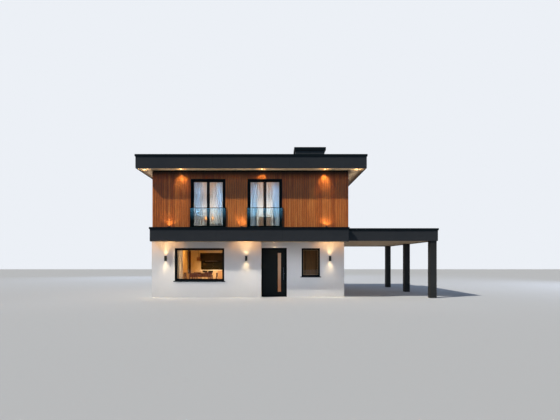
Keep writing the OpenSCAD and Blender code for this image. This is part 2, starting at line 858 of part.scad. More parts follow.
// Glass guards in side channels on the wall
guard_z = canopy_top - upper_z;
channel_d = 40;
module guard_channels() {
    color(frame_black) for (p = tall_places) at_window(p) difference() {
        union() {
            for (x = [-guard_past, tall_w + guard_past - channel_w])
                translate([x, -channel_d, guard_z]) cube([channel_w, channel_d, guard_h]);
            translate([-guard_past, -channel_d, guard_z + guard_h - channel_w])
                cube([tall_w + 2 * guard_past, channel_d, channel_w]);
        }
        translate([-guard_past + channel_w / 2, -(channel_d + guard_glass_t) / 2, guard_z - cut])
            cube([tall_w + 2 * guard_past - channel_w, guard_glass_t, guard_h + cut - channel_w / 2]);
    }
}

module guard_glass() {
    color(clear_glass) for (p = tall_places) at_window(p)
        translate([-guard_past + channel_w / 2, -(channel_d + guard_glass_t) / 2, guard_z])
            cube([tall_w + 2 * guard_past - channel_w, guard_glass_t, guard_h - channel_w / 2]);
}

// Lamps
lamp_arm = 30;
lamp_wall = 5;
lamp_lens = 25;
module wall_lamp() {
    union() {
        translate([0, -lamp_arm - lamp_dia / 2, 0]) rotate_extrude($fn = 64)
            polygon([[0, -lamp_h / 2 + lamp_lens], [lamp_dia / 2 - lamp_wall, -lamp_h / 2 + lamp_lens],
                     [lamp_dia / 2 - lamp_wall, -lamp_h / 2], [lamp_dia / 2, -lamp_h / 2],
                     [lamp_dia / 2, lamp_h / 2], [lamp_dia / 2 - lamp_wall, lamp_h / 2],
                     [lamp_dia / 2 - lamp_wall, lamp_h / 2 - lamp_lens], [0, lamp_h / 2 - lamp_lens]]);
        translate([-lamp_dia / 4, -lamp_arm - lamp_dia / 4, -lamp_h / 4])
            cube([lamp_dia / 2, lamp_arm + lamp_dia / 4, lamp_h / 2]);
    }
}

module wall_lamps() {
    color(black_sheet) for (p = lamp_places) translate([p[0], p[1], lamp_z]) wall_lamp();
}

spot_t = 8;
module spot() {
    rotate_extrude($fn = 48) polygon([[0, -spot_t / 4], [spot_dia / 2 - spot_t, -spot_t / 4],
        [spot_dia / 2 - spot_t / 2, -spot_t], [spot_dia / 2, -spot_t], [spot_dia / 2, 0], [0, 0]]);
}

module soffit_spots() {
    side_xs = [(roof_x0 + upper_x0) / 2, (roof_x1 + upper_x1) / 2];
    color("silver") {
        for (x = spot_xs) translate([x, spot_y, wall_top - soffit_t]) spot();
        for (x = side_xs, y = [roof_y0 + corner_spot_in, roof_y1 - corner_spot_in])
            translate([x, y, wall_top - soffit_t]) spot();
        translate([(recess_x + doorway_x1) / 2, (front_y + recess_y) / 2, belt_z - soffit_t]) spot();
    }
}

up_h = 70;
module canopy_spots() {
    color(black_sheet) for (x = up_xs) translate([x, belt_y0 - up_dia, canopy_top])
        rotate_extrude($fn = 48) polygon([[0, 0], [up_dia / 2, 0], [up_dia / 2, up_h],
            [up_dia / 2 - lamp_wall, up_h], [up_dia / 2 - lamp_wall, up_h - 2 * lamp_wall],
            [0, up_h - 2 * lamp_wall]]);
}

// Curtains on their rails behind the front tall windows, and a drape behind the front wide one
curtain_off = 60;
curtain_y = front_y + wall_t + curtain_off;
curtain_w = (tall_w - curtain_part) / 2;
drape_past = 60;
rail_dia = 25;
rail_arm_dia = 20;
rail_past = 120;
rail_z = upper_z + tall_h + curtain_off;
drape_rail_z = wide_z + wide_h + curtain_off;
module curtains() {
    color("white") {
        for (x = tall_xs, side = [0, 1])
            translate([x + side * (curtain_w + curtain_part), curtain_y, upper_z])
                cube([curtain_w, curtain_t, rail_z - rail_dia / 2 - upper_z]);
        translate([wide_front_x - drape_past, curtain_y, floor_t])
            cube([drape_w, curtain_t, drape_rail_z - rail_dia / 2 - floor_t]);
    }
}

// The rail over a window of width w whose left edge is at x
module curtain_rail(x, z, w) {
    union() {
        translate([x - rail_past, curtain_y + curtain_t / 2, z]) rotate([0, 90, 0])
            cylinder(h = w + 2 * rail_past, d = rail_dia, $fn = 32);
        for (k = [-rail_past / 2, w + rail_past / 2])
            translate([x + k, front_y + wall_t, z]) rotate([-90, 0, 0])
                cylinder(h = curtain_off + curtain_t / 2, d = rail_arm_dia, $fn = 32);
    }
}

module curtain_rails() {
    color("silver") {
        for (x = tall_xs) curtain_rail(x, rail_z, tall_w);
        curtain_rail(wide_front_x, drape_rail_z, wide_w);
    }
}

// Dining table with tapered legs under an apron
leg_w = 60;
leg_foot_w = 40;
top_t = 35;
apron_h = 70;
apron_t = 22;
apron_in = 15;
module dining_table() {
    color(furniture_brown) translate([table_x - table_l / 2, table_y - table_w / 2, floor_t]) union() {
        translate([0, 0, table_h - top_t]) cube([table_l, table_w, top_t]);
        difference() {
            translate([apron_in, apron_in, table_h - top_t - apron_h])
                cube([table_l - 2 * apron_in, table_w - 2 * apron_in, apron_h]);
            translate([apron_in + apron_t, apron_in + apron_t, table_h - top_t - apron_h - cut])
                cube([table_l - 2 * (apron_in + apron_t), table_w - 2 * (apron_in + apron_t), apron_h + cut]);
        }
        for (x = [0, 1], y = [0, 1]) translate([x * table_l, y * table_w, 0])
            mirror([x, 0, 0]) mirror([0, y, 0]) table_leg();
    }
}

// A leg in its corner, both inner faces tapered
module table_leg() {
    intersection() {
        rotate([90, 0, 0]) translate([0, 0, -leg_w]) linear_extrude(leg_w) leg_side();
        rotate([90, 0, 90]) linear_extrude(leg_w) leg_side();
    }
}

module leg_side() {
    polygon([[0, 0], [leg_foot_w, 0], [leg_w, table_h - top_t], [0, table_h - top_t]]);
}

// A chair facing +Y, centred on its seat: splayed rear legs run up to a curved back rest
chair_leg = 35;
chair_seat_t = 40;
chair_lean = 60;
rest_h = 220;
rest_t = 20;
rest_r = 620;
chair_under = 130;
chair_clear = 13;
module chair() {
    union() {
        translate([-chair_w / 2, -chair_d / 2 + chair_lean, seat_h - chair_seat_t])
            cube([chair_w, chair_d - chair_lean, chair_seat_t]);
        for (x = [-chair_w / 2, chair_w / 2 - chair_leg]) {
            translate([x, chair_d / 2 - chair_leg, 0]) cube([chair_leg, chair_leg, seat_h]);
            translate([x, -chair_d / 2, 0]) rotate([90, 0, 90]) linear_extrude(chair_leg)
                polygon([[0, 0], [chair_leg, 0], [chair_lean + chair_leg, seat_h - chair_seat_t],
                         [chair_lean + chair_leg, seat_h], [chair_leg, chair_h], [0, chair_h],
                         [chair_lean, seat_h]]);
        }
        translate([0, rest_r - chair_d / 2, chair_h - rest_h]) intersection() {
            difference() {
                cylinder(h = rest_h, r = rest_r, $fn = 96);
                translate([0, 0, -cut]) cylinder(h = rest_h + 2 * cut, r = rest_r - rest_t, $fn = 96);
            }
            translate([-chair_w / 2, -rest_r - cut, -cut])
                cube([chair_w, rest_r / 2, rest_h + 2 * cut]);
        }
    }
}

// Two chairs on each long side of the table and one at each end
module dining_chairs() {
    along = table_l / 2 - leg_w - chair_clear - chair_w / 2;
    side_off = (table_w + chair_d) / 2 - chair_under;
    end_off = (table_l + chair_d) / 2 - chair_under;
    color(furniture_brown) translate([table_x, table_y, floor_t]) {
        for (x = [-along, along], turn = [0, 180]) rotate([0, 0, turn]) translate([x, -side_off, 0]) chair();
        for (turn = [90, 270]) rotate([0, 0, turn]) translate([0, -end_off, 0]) chair();
    }
}

// Kitchen: base units on a plinth with a worktop and two open shelves, and wall cabinets
worktop_t = 40;
worktop_out = 20;
plinth_h = 120;
plinth_in = 60;
door_seam = 4;
door_n = 4;
shelf_w = 300;
shelf_h = 115;
shelf_d = 300;
shelf_from = 170;
shelf_pitch = 350;
module door_seams(w, n, y, z0, z1) {
    for (i = [1 : n - 1]) translate([i * w / n - door_seam / 2, y - cut, z0])
        cube([door_seam, cut + 2 * door_seam, z1 - z0]);
}

module kitchen_units() {
    front = inner_rear - kitchen_d + worktop_out;
    cabinet_z = floor_t + worktop_h + cabinet_up;
    color([0.28, 0.20, 0.12]) {
        difference() {
            union() {
                box([kitchen_x, front + plinth_in, floor_t],
                    [kitchen_x + kitchen_l, inner_rear, floor_t + plinth_h]);
                box([kitchen_x, front, floor_t + plinth_h],
                    [kitchen_x + kitchen_l, inner_rear, floor_t + worktop_h - worktop_t]);
                box([kitchen_x, front - worktop_out, floor_t + worktop_h - worktop_t],
                    [kitchen_x + kitchen_l, inner_rear, floor_t + worktop_h]);
            }
            translate([kitchen_x, 0, 0])
                door_seams(kitchen_l, door_n, front, floor_t + plinth_h, floor_t + worktop_h - worktop_t);
            for (i = [0, 1]) translate([kitchen_x + shelf_from + i * shelf_pitch, front - cut,
                                        floor_t + worktop_h - worktop_t - 2 * door_seam - shelf_h])
                cube([shelf_w, shelf_d + cut, shelf_h]);
        }
        difference() {
            box([kitchen_x, inner_rear - cabinet_d, cabinet_z],
                [kitchen_x + kitchen_l, inner_rear, cabinet_z + cabinet_h]);
            translate([kitchen_x, 0, 0])
                door_seams(kitchen_l, door_n, inner_rear - cabinet_d, cabinet_z, cabinet_z + cabinet_h);
        }
    }
}

// Pendant lamp: a dome closed by a set-back diffuser, on a rod from a ceiling rose
pendant_rod = 12;
rose_dia = 100;
rose_h = 30;
diffuser_in = 15;
dome_wall = 4;
module pendant_lamp() {
    pendant_z = floor_t + table_h + pendant_up;
    ceiling = ground_h - pendant_z;
    dome_r = (pow(pendant_dia / 2, 2) + pow(pendant_h, 2)) / (2 * pendant_h);
    color(furniture_brown) translate([table_x - pendant_left, table_y, pendant_z]) union() {
        difference() {
            intersection() {
                translate([0, 0, pendant_h - dome_r]) sphere(r = dome_r, $fn = 96);
                cylinder(h = pendant_h, r = pendant_dia / 2, $fn = 96);
            }
            translate([0, 0, -cut])
                cylinder(h = diffuser_in + cut, r = pendant_dia / 2 - dome_wall, $fn = 96);
        }
        translate([0, 0, pendant_h / 2])
            cylinder(h = ceiling - pendant_h / 2, d = pendant_rod, $fn = 24);
        translate([0, 0, ceiling - rose_h]) cylinder(h = rose_h, d = rose_dia, $fn = 48);
    }
}

// Upper room: a sideboard and a chest of drawers on legs along the rear wall
case_leg = 45;
case_leg_h = 120;
drawer_n = 4;
module case_body(w, h) {
    union() {
        translate([0, 0, case_leg_h]) cube([w, case_d, h - case_leg_h]);
        for (x = [0, w - case_leg], y = [0, case_d - case_leg])
            translate([x, y, 0]) cube([case_leg, case_leg, case_leg_h]);
    }
}

module upper_cabinets() {
    color(furniture_brown) {
        translate([left_x + sideboard_at, inner_rear - case_d, upper_z]) difference() {
            case_body(sideboard_w, sideboard_h);
            door_seams(sideboard_w, 2, 0, case_leg_h, sideboard_h - case_leg);
        }
        translate([left_x + chest_at, inner_rear - case_d, upper_z]) difference() {
            case_body(chest_w, chest_h);
            for (i = [1 : drawer_n - 1])
                translate([-cut, -cut, case_leg_h + i * (chest_h - case_leg_h) / drawer_n])
                    cube([chest_w + 2 * cut, cut + 2 * door_seam, door_seam]);
        }
    }
}

// Two table lamps on the sideboard: round foot, stem and tapered drum shade
table_lamp_foot = 120;
table_lamp_foot_t = 18;
table_lamp_stem = 22;
table_lamp_shade_h = 200;
table_lamp_taper = 25;
table_lamp_in = 90;
table_lamp_pitch = 430;
module table_lamps() {
    color("wheat") for (i = [0, 1])
        translate([left_x + sideboard_at + table_lamp_in + i * table_lamp_pitch,
                   inner_rear - case_d / 2, upper_z + sideboard_h])
            rotate_extrude($fn = 64) polygon([
                [0, 0], [table_lamp_foot / 2, 0], [table_lamp_foot / 2, table_lamp_foot_t],
                [table_lamp_stem / 2, table_lamp_foot_t],
                [table_lamp_stem / 2, table_lamp_h - table_lamp_shade_h],
                [table_lamp_dia / 2, table_lamp_h - table_lamp_shade_h],
                [table_lamp_dia / 2 - table_lamp_taper, table_lamp_h], [0, table_lamp_h]]);
}

ground_floor_slab();
front_wall();
entrance_side_wall();
entrance_wall();
door_lintel();
left_wall();
right_wall();
rear_wall();
upper_floor_slab();
canopy();
canopy_coping();
storey_belt();
upper_front_wall();
upper_left_wall();
upper_right_wall();
upper_rear_wall();
roof_slab();
roof_soffit();
roof_fascia();
roof_coping();
chimney();
chimney_cap();
carport_roof();
lower_soffits();
carport_fascia();
carport_coping();
carport_columns();
door_frame();
door_leaf();
door_glass();
door_handle();
wide_window_frames();
wide_window_glass();
small_window_frames();
small_window_glass();
window_blinds();
window_sills();
tall_window_frames();
tall_window_casements();
tall_window_glass();
guard_glass();
guard_channels();
wall_lamps();
soffit_spots();
canopy_spots();
curtains();
curtain_rails();
dining_table();
dining_chairs();
kitchen_units();
pendant_lamp();
upper_cabinets();
table_lamps();
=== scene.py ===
import bisect
import math
import random

import bmesh
import bpy
from mathutils import Matrix, Vector


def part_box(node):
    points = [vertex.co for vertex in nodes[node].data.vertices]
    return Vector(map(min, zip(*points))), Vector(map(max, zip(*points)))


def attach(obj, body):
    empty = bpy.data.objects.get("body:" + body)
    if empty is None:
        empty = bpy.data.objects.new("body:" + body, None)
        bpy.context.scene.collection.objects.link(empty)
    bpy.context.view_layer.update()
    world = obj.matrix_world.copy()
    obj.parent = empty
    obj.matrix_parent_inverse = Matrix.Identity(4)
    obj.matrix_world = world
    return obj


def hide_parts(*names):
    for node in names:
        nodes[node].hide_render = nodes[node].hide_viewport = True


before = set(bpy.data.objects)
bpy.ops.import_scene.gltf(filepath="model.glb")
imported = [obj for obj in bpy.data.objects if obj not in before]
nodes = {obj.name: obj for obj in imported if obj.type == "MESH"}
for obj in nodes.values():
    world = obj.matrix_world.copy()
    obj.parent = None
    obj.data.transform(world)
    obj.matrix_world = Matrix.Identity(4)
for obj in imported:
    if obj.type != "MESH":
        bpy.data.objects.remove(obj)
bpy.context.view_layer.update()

scene = bpy.context.scene
random.seed(41)
print("frame loaded:", len(nodes), "nodes")


# Colours are written as 0-255 screen values
def tone(red, green, blue):
    linear = []
    for value in (red, green, blue):
        share = value / 255
        linear.append(share / 12.92 if share <= 0.04045 else ((share + 0.055) / 1.055) ** 2.4)
    return (*linear, 1.0)


# Camera: at eye height in front of the house, looking straight along +Y with a shifted lens
view = {"place": (1.175, -25.03, 1.68), "lens": 30, "sensor": 36, "shift": (0.0089, 0.0893), "far": 400}
cameraData = bpy.data.cameras.new("camera")
cameraData.lens = view["lens"]
cameraData.sensor_width = view["sensor"]
cameraData.shift_x, cameraData.shift_y = view["shift"]
cameraData.clip_end = view["far"]
camera = bpy.data.objects.new("camera", cameraData)
camera.location = view["place"]
camera.rotation_euler = (math.radians(90), 0, 0)
scene.collection.objects.link(camera)
scene.camera = camera
scene.view_settings.view_transform = "Standard"


# Node trees: one call makes a node, sets it and wires its inputs
def put(tree, kind, inputs=None, **settings):
    made = tree.nodes.new("ShaderNode" + kind)
    for name, value in settings.items():
        setattr(made, name, value)
    for socket, value in (inputs or {}).items():
        if isinstance(value, bpy.types.NodeSocket):
            tree.links.new(value, made.inputs[socket])
        else:
            made.inputs[socket].default_value = value
    return made


# Wires the named inputs of a node; an underscore stands for a space
def wire(node, **sources):
    for name, source in sources.items():
        node.id_data.links.new(source, node.inputs[name.replace("_", " ")])


def sums(tree, operation, first, second=0.0):
    return put(tree, "Math", {0: first, 1: second}, operation=operation).outputs[0]


def vectorSums(tree, operation, first, second):
    return put(tree, "VectorMath", {0: first, 1: second}, operation=operation).outputs[0]


def partsOf(tree, vector):
    return put(tree, "SeparateXYZ", {0: vector}).outputs


def blendOf(tree, share, first, second):
    return put(tree, "Mix", {0: share, 6: first, 7: second}, data_type="RGBA").outputs[2]


def noiseOf(tree, place, scale, detail, roughness, distortion=0.0):
    return put(tree, "TexNoise", {"Vector": place, "Scale": scale, "Detail": detail,
                                  "Roughness": roughness, "Distortion": distortion}).outputs["Fac"]


def useGroup(tree, group, **inputs):
    return put(tree, "Group", inputs, node_tree=group).outputs


def newGroup(name, takes, gives):
    group = bpy.data.node_groups.new(name, "ShaderNodeTree")
    for label, value in takes.items():
        kind = "NodeSocketVector" if isinstance(value, tuple) else "NodeSocketFloat"
        group.interface.new_socket(label, in_out="INPUT", socket_type=kind).default_value = value
    for label in gives:
        group.interface.new_socket(label, in_out="OUTPUT", socket_type="NodeSocketFloat")
    return group, group.nodes.new("NodeGroupInput").outputs, group.nodes.new("NodeGroupOutput")


# Fine grain of render, powder coat and membrane: a height and a soft mottling
def makeGrainGroup():
    group, takes, gives = newGroup("fineGrain", {"Place": (0.0, 0.0, 0.0), "Scale": 200.0, "Spread": 1.5},
                                   ["Height", "Mottle"])
    fine = noiseOf(group, takes["Place"], takes["Scale"], detail=4.0, roughness=0.6)
    broad = noiseOf(group, takes["Place"], takes["Spread"], detail=5.0, roughness=0.55)
    wire(gives, Height=fine, Mottle=broad)
    return group


woodLook = {"shift": (17.0, 9.0, 31.0), "squeeze": 0.045, "poreFineness": 9.0, "swirlShare": 0.7,
            "poreShare": 0.3, "plainSeed": 0.37, "figureShare": 0.72, "seedShare": 0.3,
            "stops": (0.08, 0.5, 0.95), "gloss": (-0.08, 0.1), "depth": 0.001}


# Wood figure along Z: long fibres, pores and a slow swirl, shifted by each board's own seed
def makeWoodGroup():
    group, takes, gives = newGroup("woodFigure", {"Place": (0.0, 0.0, 0.0), "Seed": 0.0, "Fineness": 30.0},
                                   ["Tone", "Height"])
    shift = put(group, "CombineXYZ", {axis: sums(group, "MULTIPLY", takes["Seed"], step)
                                      for axis, step in enumerate(woodLook["shift"])})
    moved = vectorSums(group, "ADD", takes["Place"], shift.outputs[0])
    long = put(group, "Mapping", {"Vector": moved, "Scale": (1.0, 1.0, woodLook["squeeze"])}).outputs[0]
    swirl = noiseOf(group, long, takes["Fineness"], detail=6.0, roughness=0.65, distortion=0.8)
    pores = noiseOf(group, long, sums(group, "MULTIPLY", takes["Fineness"], woodLook["poreFineness"]),
                    detail=3.0, roughness=0.7)
    both = sums(group, "ADD", sums(group, "MULTIPLY", swirl, woodLook["swirlShare"]),
                sums(group, "MULTIPLY", pores, woodLook["poreShare"]))
    wire(gives, Tone=both, Height=sums(group, "SUBTRACT", pores, swirl))
    return group


# Plain weave on the cloth's own UV map
def makeWeaveGroup():
    group, takes, gives = newGroup("plainWeave", {"Place": (0.0, 0.0, 0.0), "Threads": 900.0}, ["Height"])
    parts = partsOf(group, takes["Place"])
    waves = []
    for axis in (0, 1):
        turned = sums(group, "MULTIPLY", parts[axis], takes["Threads"])
        waves.append(sums(group, "ABSOLUTE", sums(group, "SINE", turned)))
    wire(gives, Height=sums(group, "MAXIMUM", *waves))
    return group


# 1 inside the box from Low to High, 0 outside
def makeInsideGroup():
    group, takes, gives = newGroup("insideBox", {"Place": (0.0, 0.0, 0.0), "Low": (0.0, 0.0, 0.0),
                                                 "High": (1.0, 1.0, 1.0)}, ["Inside"])
    above = vectorSums(group, "SUBTRACT", takes["Place"], takes["Low"])
    below = vectorSums(group, "SUBTRACT", takes["High"], takes["Place"])
    parts = partsOf(group, vectorSums(group, "MINIMUM", above, below))
    smallest = sums(group, "MINIMUM", sums(group, "MINIMUM", parts[0], parts[1]), parts[2])
    wire(gives, Inside=sums(group, "GREATER_THAN", smallest))
    return group


grainGroup = makeGrainGroup()
woodGroup = makeWoodGroup()
weaveGroup = makeWeaveGroup()
insideGroup = makeInsideGroup()


def newFinish(name, **fixed):
    finish = bpy.data.materials.new(name)
    finish.use_nodes = True
    tree = finish.node_tree
    shader = tree.nodes["Principled BSDF"]
    for socket, value in fixed.items():
        shader.inputs[socket.replace("_", " ")].default_value = value
    return finish, tree, shader, put(tree, "TexCoord").outputs["Object"]


def roughen(tree, shader, height, strength, distance):
    bump = put(tree, "Bump", {"Strength": strength, "Distance": distance, "Height": height})
    wire(shader, Normal=bump.outputs[0])


# Noise stays mostly between 0.3 and 0.7, so that span is stretched over the wanted one
def stretch(tree, value, low=0.0, high=1.0):
    return put(tree, "MapRange", {0: value, 1: 0.3, 2: 0.7, 3: low, 4: high}).outputs[0]


def mottled(tree, texture, dark, light):
    return blendOf(tree, stretch(tree, texture["Mottle"]), tone(*dark), tone(*light))


coatLook = {"spread": 1.2, "depth": 0.0005}


# A coated or painted surface: two close tones, fine grain and uneven sheen
def paintedFinish(name, dark, light, roughness=(0.4, 0.55), grain=400.0, bump=0.1, metallic=0.0,
                  specular=0.5):
    finish, tree, shader, place = newFinish(name, Metallic=metallic, Specular_IOR_Level=specular)
    texture = useGroup(tree, grainGroup, Place=place, Scale=grain, Spread=coatLook["spread"])
    wire(shader, Base_Color=mottled(tree, texture, dark, light),
         Roughness=stretch(tree, texture["Mottle"], *roughness))
    roughen(tree, shader, texture["Height"], bump, coatLook["depth"])
    return finish


# Wood: three tones, moved by the figure and, on boards, by each one's own seed; eavesShade gives the heights
# between which the colour fades under the roof as painted shade, and the share left at the top
def woodFinish(name, deep, middle, light, roughness=0.45, fineness=40.0, bump=0.25, specular=0.35,
               boards=False, eavesShade=None):
    finish, tree, shader, place = newFinish(name, Specular_IOR_Level=specular)
    seed = woodLook["plainSeed"]
    if boards:
        seed = put(tree, "Attribute", attribute_name="boardSeed").outputs["Fac"]
    figure = useGroup(tree, woodGroup, Place=place, Seed=seed, Fineness=fineness)
    sweep = stretch(tree, figure["Tone"])
    if boards:
        sweep = sums(tree, "ADD", sums(tree, "MULTIPLY", sweep, woodLook["figureShare"]),
                     sums(tree, "MULTIPLY", seed, woodLook["seedShare"]))
    ramp = put(tree, "ValToRGB", {0: sweep})
    stops, places = ramp.color_ramp.elements, woodLook["stops"]
    stops[0].color, stops[0].position = tone(*deep), places[0]
    stops[1].color, stops[1].position = tone(*light), places[2]
    stops.new(places[1]).color = tone(*middle)
    colour = ramp.outputs[0]
    # Painted shade: the colour darkens towards the soffit
    if eavesShade:
        start, end, left = eavesShade
        paintedShade = put(tree, "MapRange",
                  {0: partsOf(tree, place)[2], 1: start, 2: end, 3: 1.0, 4: left}).outputs[0]
        colour = put(tree, "VectorMath", {0: colour, "Scale": paintedShade}, operation="SCALE").outputs[0]
    gloss = [roughness + change for change in woodLook["gloss"]]
    wire(shader, Base_Color=colour, Roughness=stretch(tree, figure["Tone"], *gloss))
    roughen(tree, shader, figure["Height"], bump, woodLook["depth"])
    return finish


# Glass that lets lamp light and daylight through without caustics
def glassFinish(name, tint, roughness=0.0, ior=1.45):
    finish, tree, shader = newFinish(name, Base_Color=tone(*tint), Roughness=roughness,
                                     Transmission_Weight=1.0, IOR=ior)[:3]
    path = put(tree, "LightPath").outputs
    through = sums(tree, "MAXIMUM", path["Is Shadow Ray"], path["Is Diffuse Ray"])
    clear = put(tree, "BsdfTransparent", {0: tone(*tint)})
    mixed = put(tree, "MixShader", {0: through, 1: shader.outputs[0], 2: clear.outputs[0]})
    wire(tree.nodes["Material Output"], Surface=mixed.outputs[0])
    return finish


def glowFinish(name, colour, strength):
    return newFinish(name, Base_Color=tone(*colour), Emission_Color=tone(*colour),
                     Emission_Strength=strength, Roughness=0.4)[0]


renderLook = {"dark": (212, 210, 207), "light": (221, 219, 216), "room": (226, 194, 142), "near": 0.005,
              "roomLow": -1, "roomHigh": 3, "grain": 260.0, "spread": 0.7, "bump": 0.35, "depth": 0.0012}


# Fine white render outside, warm paint on the rooms' side of the walls
def renderFinish():
    look = renderLook
    finish, tree, shader, place = newFinish("whiteRender", Roughness=0.9, Specular_IOR_Level=0.25)
    texture = useGroup(tree, grainGroup, Place=place, Scale=look["grain"], Spread=look["spread"])
    outer = mottled(tree, texture, look["dark"], look["light"])
    near = look["near"]
    left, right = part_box("left_wall")[1].x - near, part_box("right_wall")[0].x + near
    front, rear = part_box("front_wall")[1].y - near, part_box("rear_wall")[0].y + near
    side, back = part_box("entrance_side_wall")[0].x + near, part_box("entrance_wall")[1].y - near
    room = [useGroup(tree, insideGroup, Place=place, Low=(left, y, look["roomLow"]),
                     High=(x, rear, look["roomHigh"]))["Inside"] for x, y in ((side, front), (right, back))]
    inside = sums(tree, "MAXIMUM", *room)
    wire(shader, Base_Color=blendOf(tree, inside, outer, tone(*look["room"])))
    roughen(tree, shader, texture["Height"], look["bump"], look["depth"])
    return finish


laneLook = {"grain": 120.0, "spread": 0.9, "lap": 0.02, "lapShare": 0.5, "lapTone": (70, 70, 70),
            "bump": 0.3, "depth": 0.002}


# Lanes along Y with laps between them: roof membrane, or tiles where they are narrow
def laneFinish(name, dark, light, lane=1.0):
    look = laneLook
    finish, tree, shader, place = newFinish(name, Roughness=0.85)
    texture = useGroup(tree, grainGroup, Place=place, Scale=look["grain"], Spread=look["spread"])
    across = sums(tree, "PINGPONG", partsOf(tree, place)[0], lane / 2)
    lap = sums(tree, "LESS_THAN", across, look["lap"])
    share = sums(tree, "MULTIPLY", lap, look["lapShare"])
    wire(shader, Base_Color=blendOf(tree, share, mottled(tree, texture, dark, light),
                                    tone(*look["lapTone"])))
    roughen(tree, shader, sums(tree, "ADD", texture["Height"], lap), look["bump"], look["depth"])
    return finish


# A slab with lanes on top and a painted ceiling on its underside
def ceilingFinish(name, dark, light, ceiling):
    finish = laneFinish(name, dark, light)
    tree = finish.node_tree
    shader = tree.nodes["Principled BSDF"]
    above = shader.inputs["Base Color"].links[0].from_socket
    normal = put(tree, "NewGeometry").outputs["Normal"]
    down = sums(tree, "LESS_THAN", partsOf(tree, normal)[2], -0.5)
    wire(shader, Base_Color=blendOf(tree, down, above, tone(*ceiling)))
    return finish


clothLook = {"askew": 0.35, "bump": 0.08, "depth": 0.0004}


# Cloth on its own UV map; thin gives the alpha hanging flat, gathered, and added where seen askew; the colour
# goes from flat to gathered with the gather
def clothFinish(name, flat, gathered, threads, thin=None):
    finish, tree, shader = newFinish(name, Roughness=0.9, Sheen_Weight=0.3)[:3]
    clothMap = put(tree, "UVMap", uv_map="clothMap").outputs[0]
    weave = useGroup(tree, weaveGroup, Place=clothMap, Threads=threads)
    density = put(tree, "Attribute", attribute_name="gather").outputs["Fac"]
    # On the sheer, the blue of the gathered colour is painted cool sky light and reflection
    wire(shader, Base_Color=blendOf(tree, density, tone(*flat), tone(*gathered)))
    if thin:
        askew = put(tree, "LayerWeight", {"Blend": clothLook["askew"]}).outputs["Facing"]
        base = put(tree, "MapRange", {0: density, 3: thin[0], 4: thin[1]}).outputs[0]
        alpha = put(tree, "Math", {0: base, 1: sums(tree, "MULTIPLY", askew, thin[2])},
                    operation="ADD", use_clamp=True)
        wire(shader, Alpha=alpha.outputs[0])
    roughen(tree, shader, weave["Height"], clothLook["bump"], clothLook["depth"])
    return finish


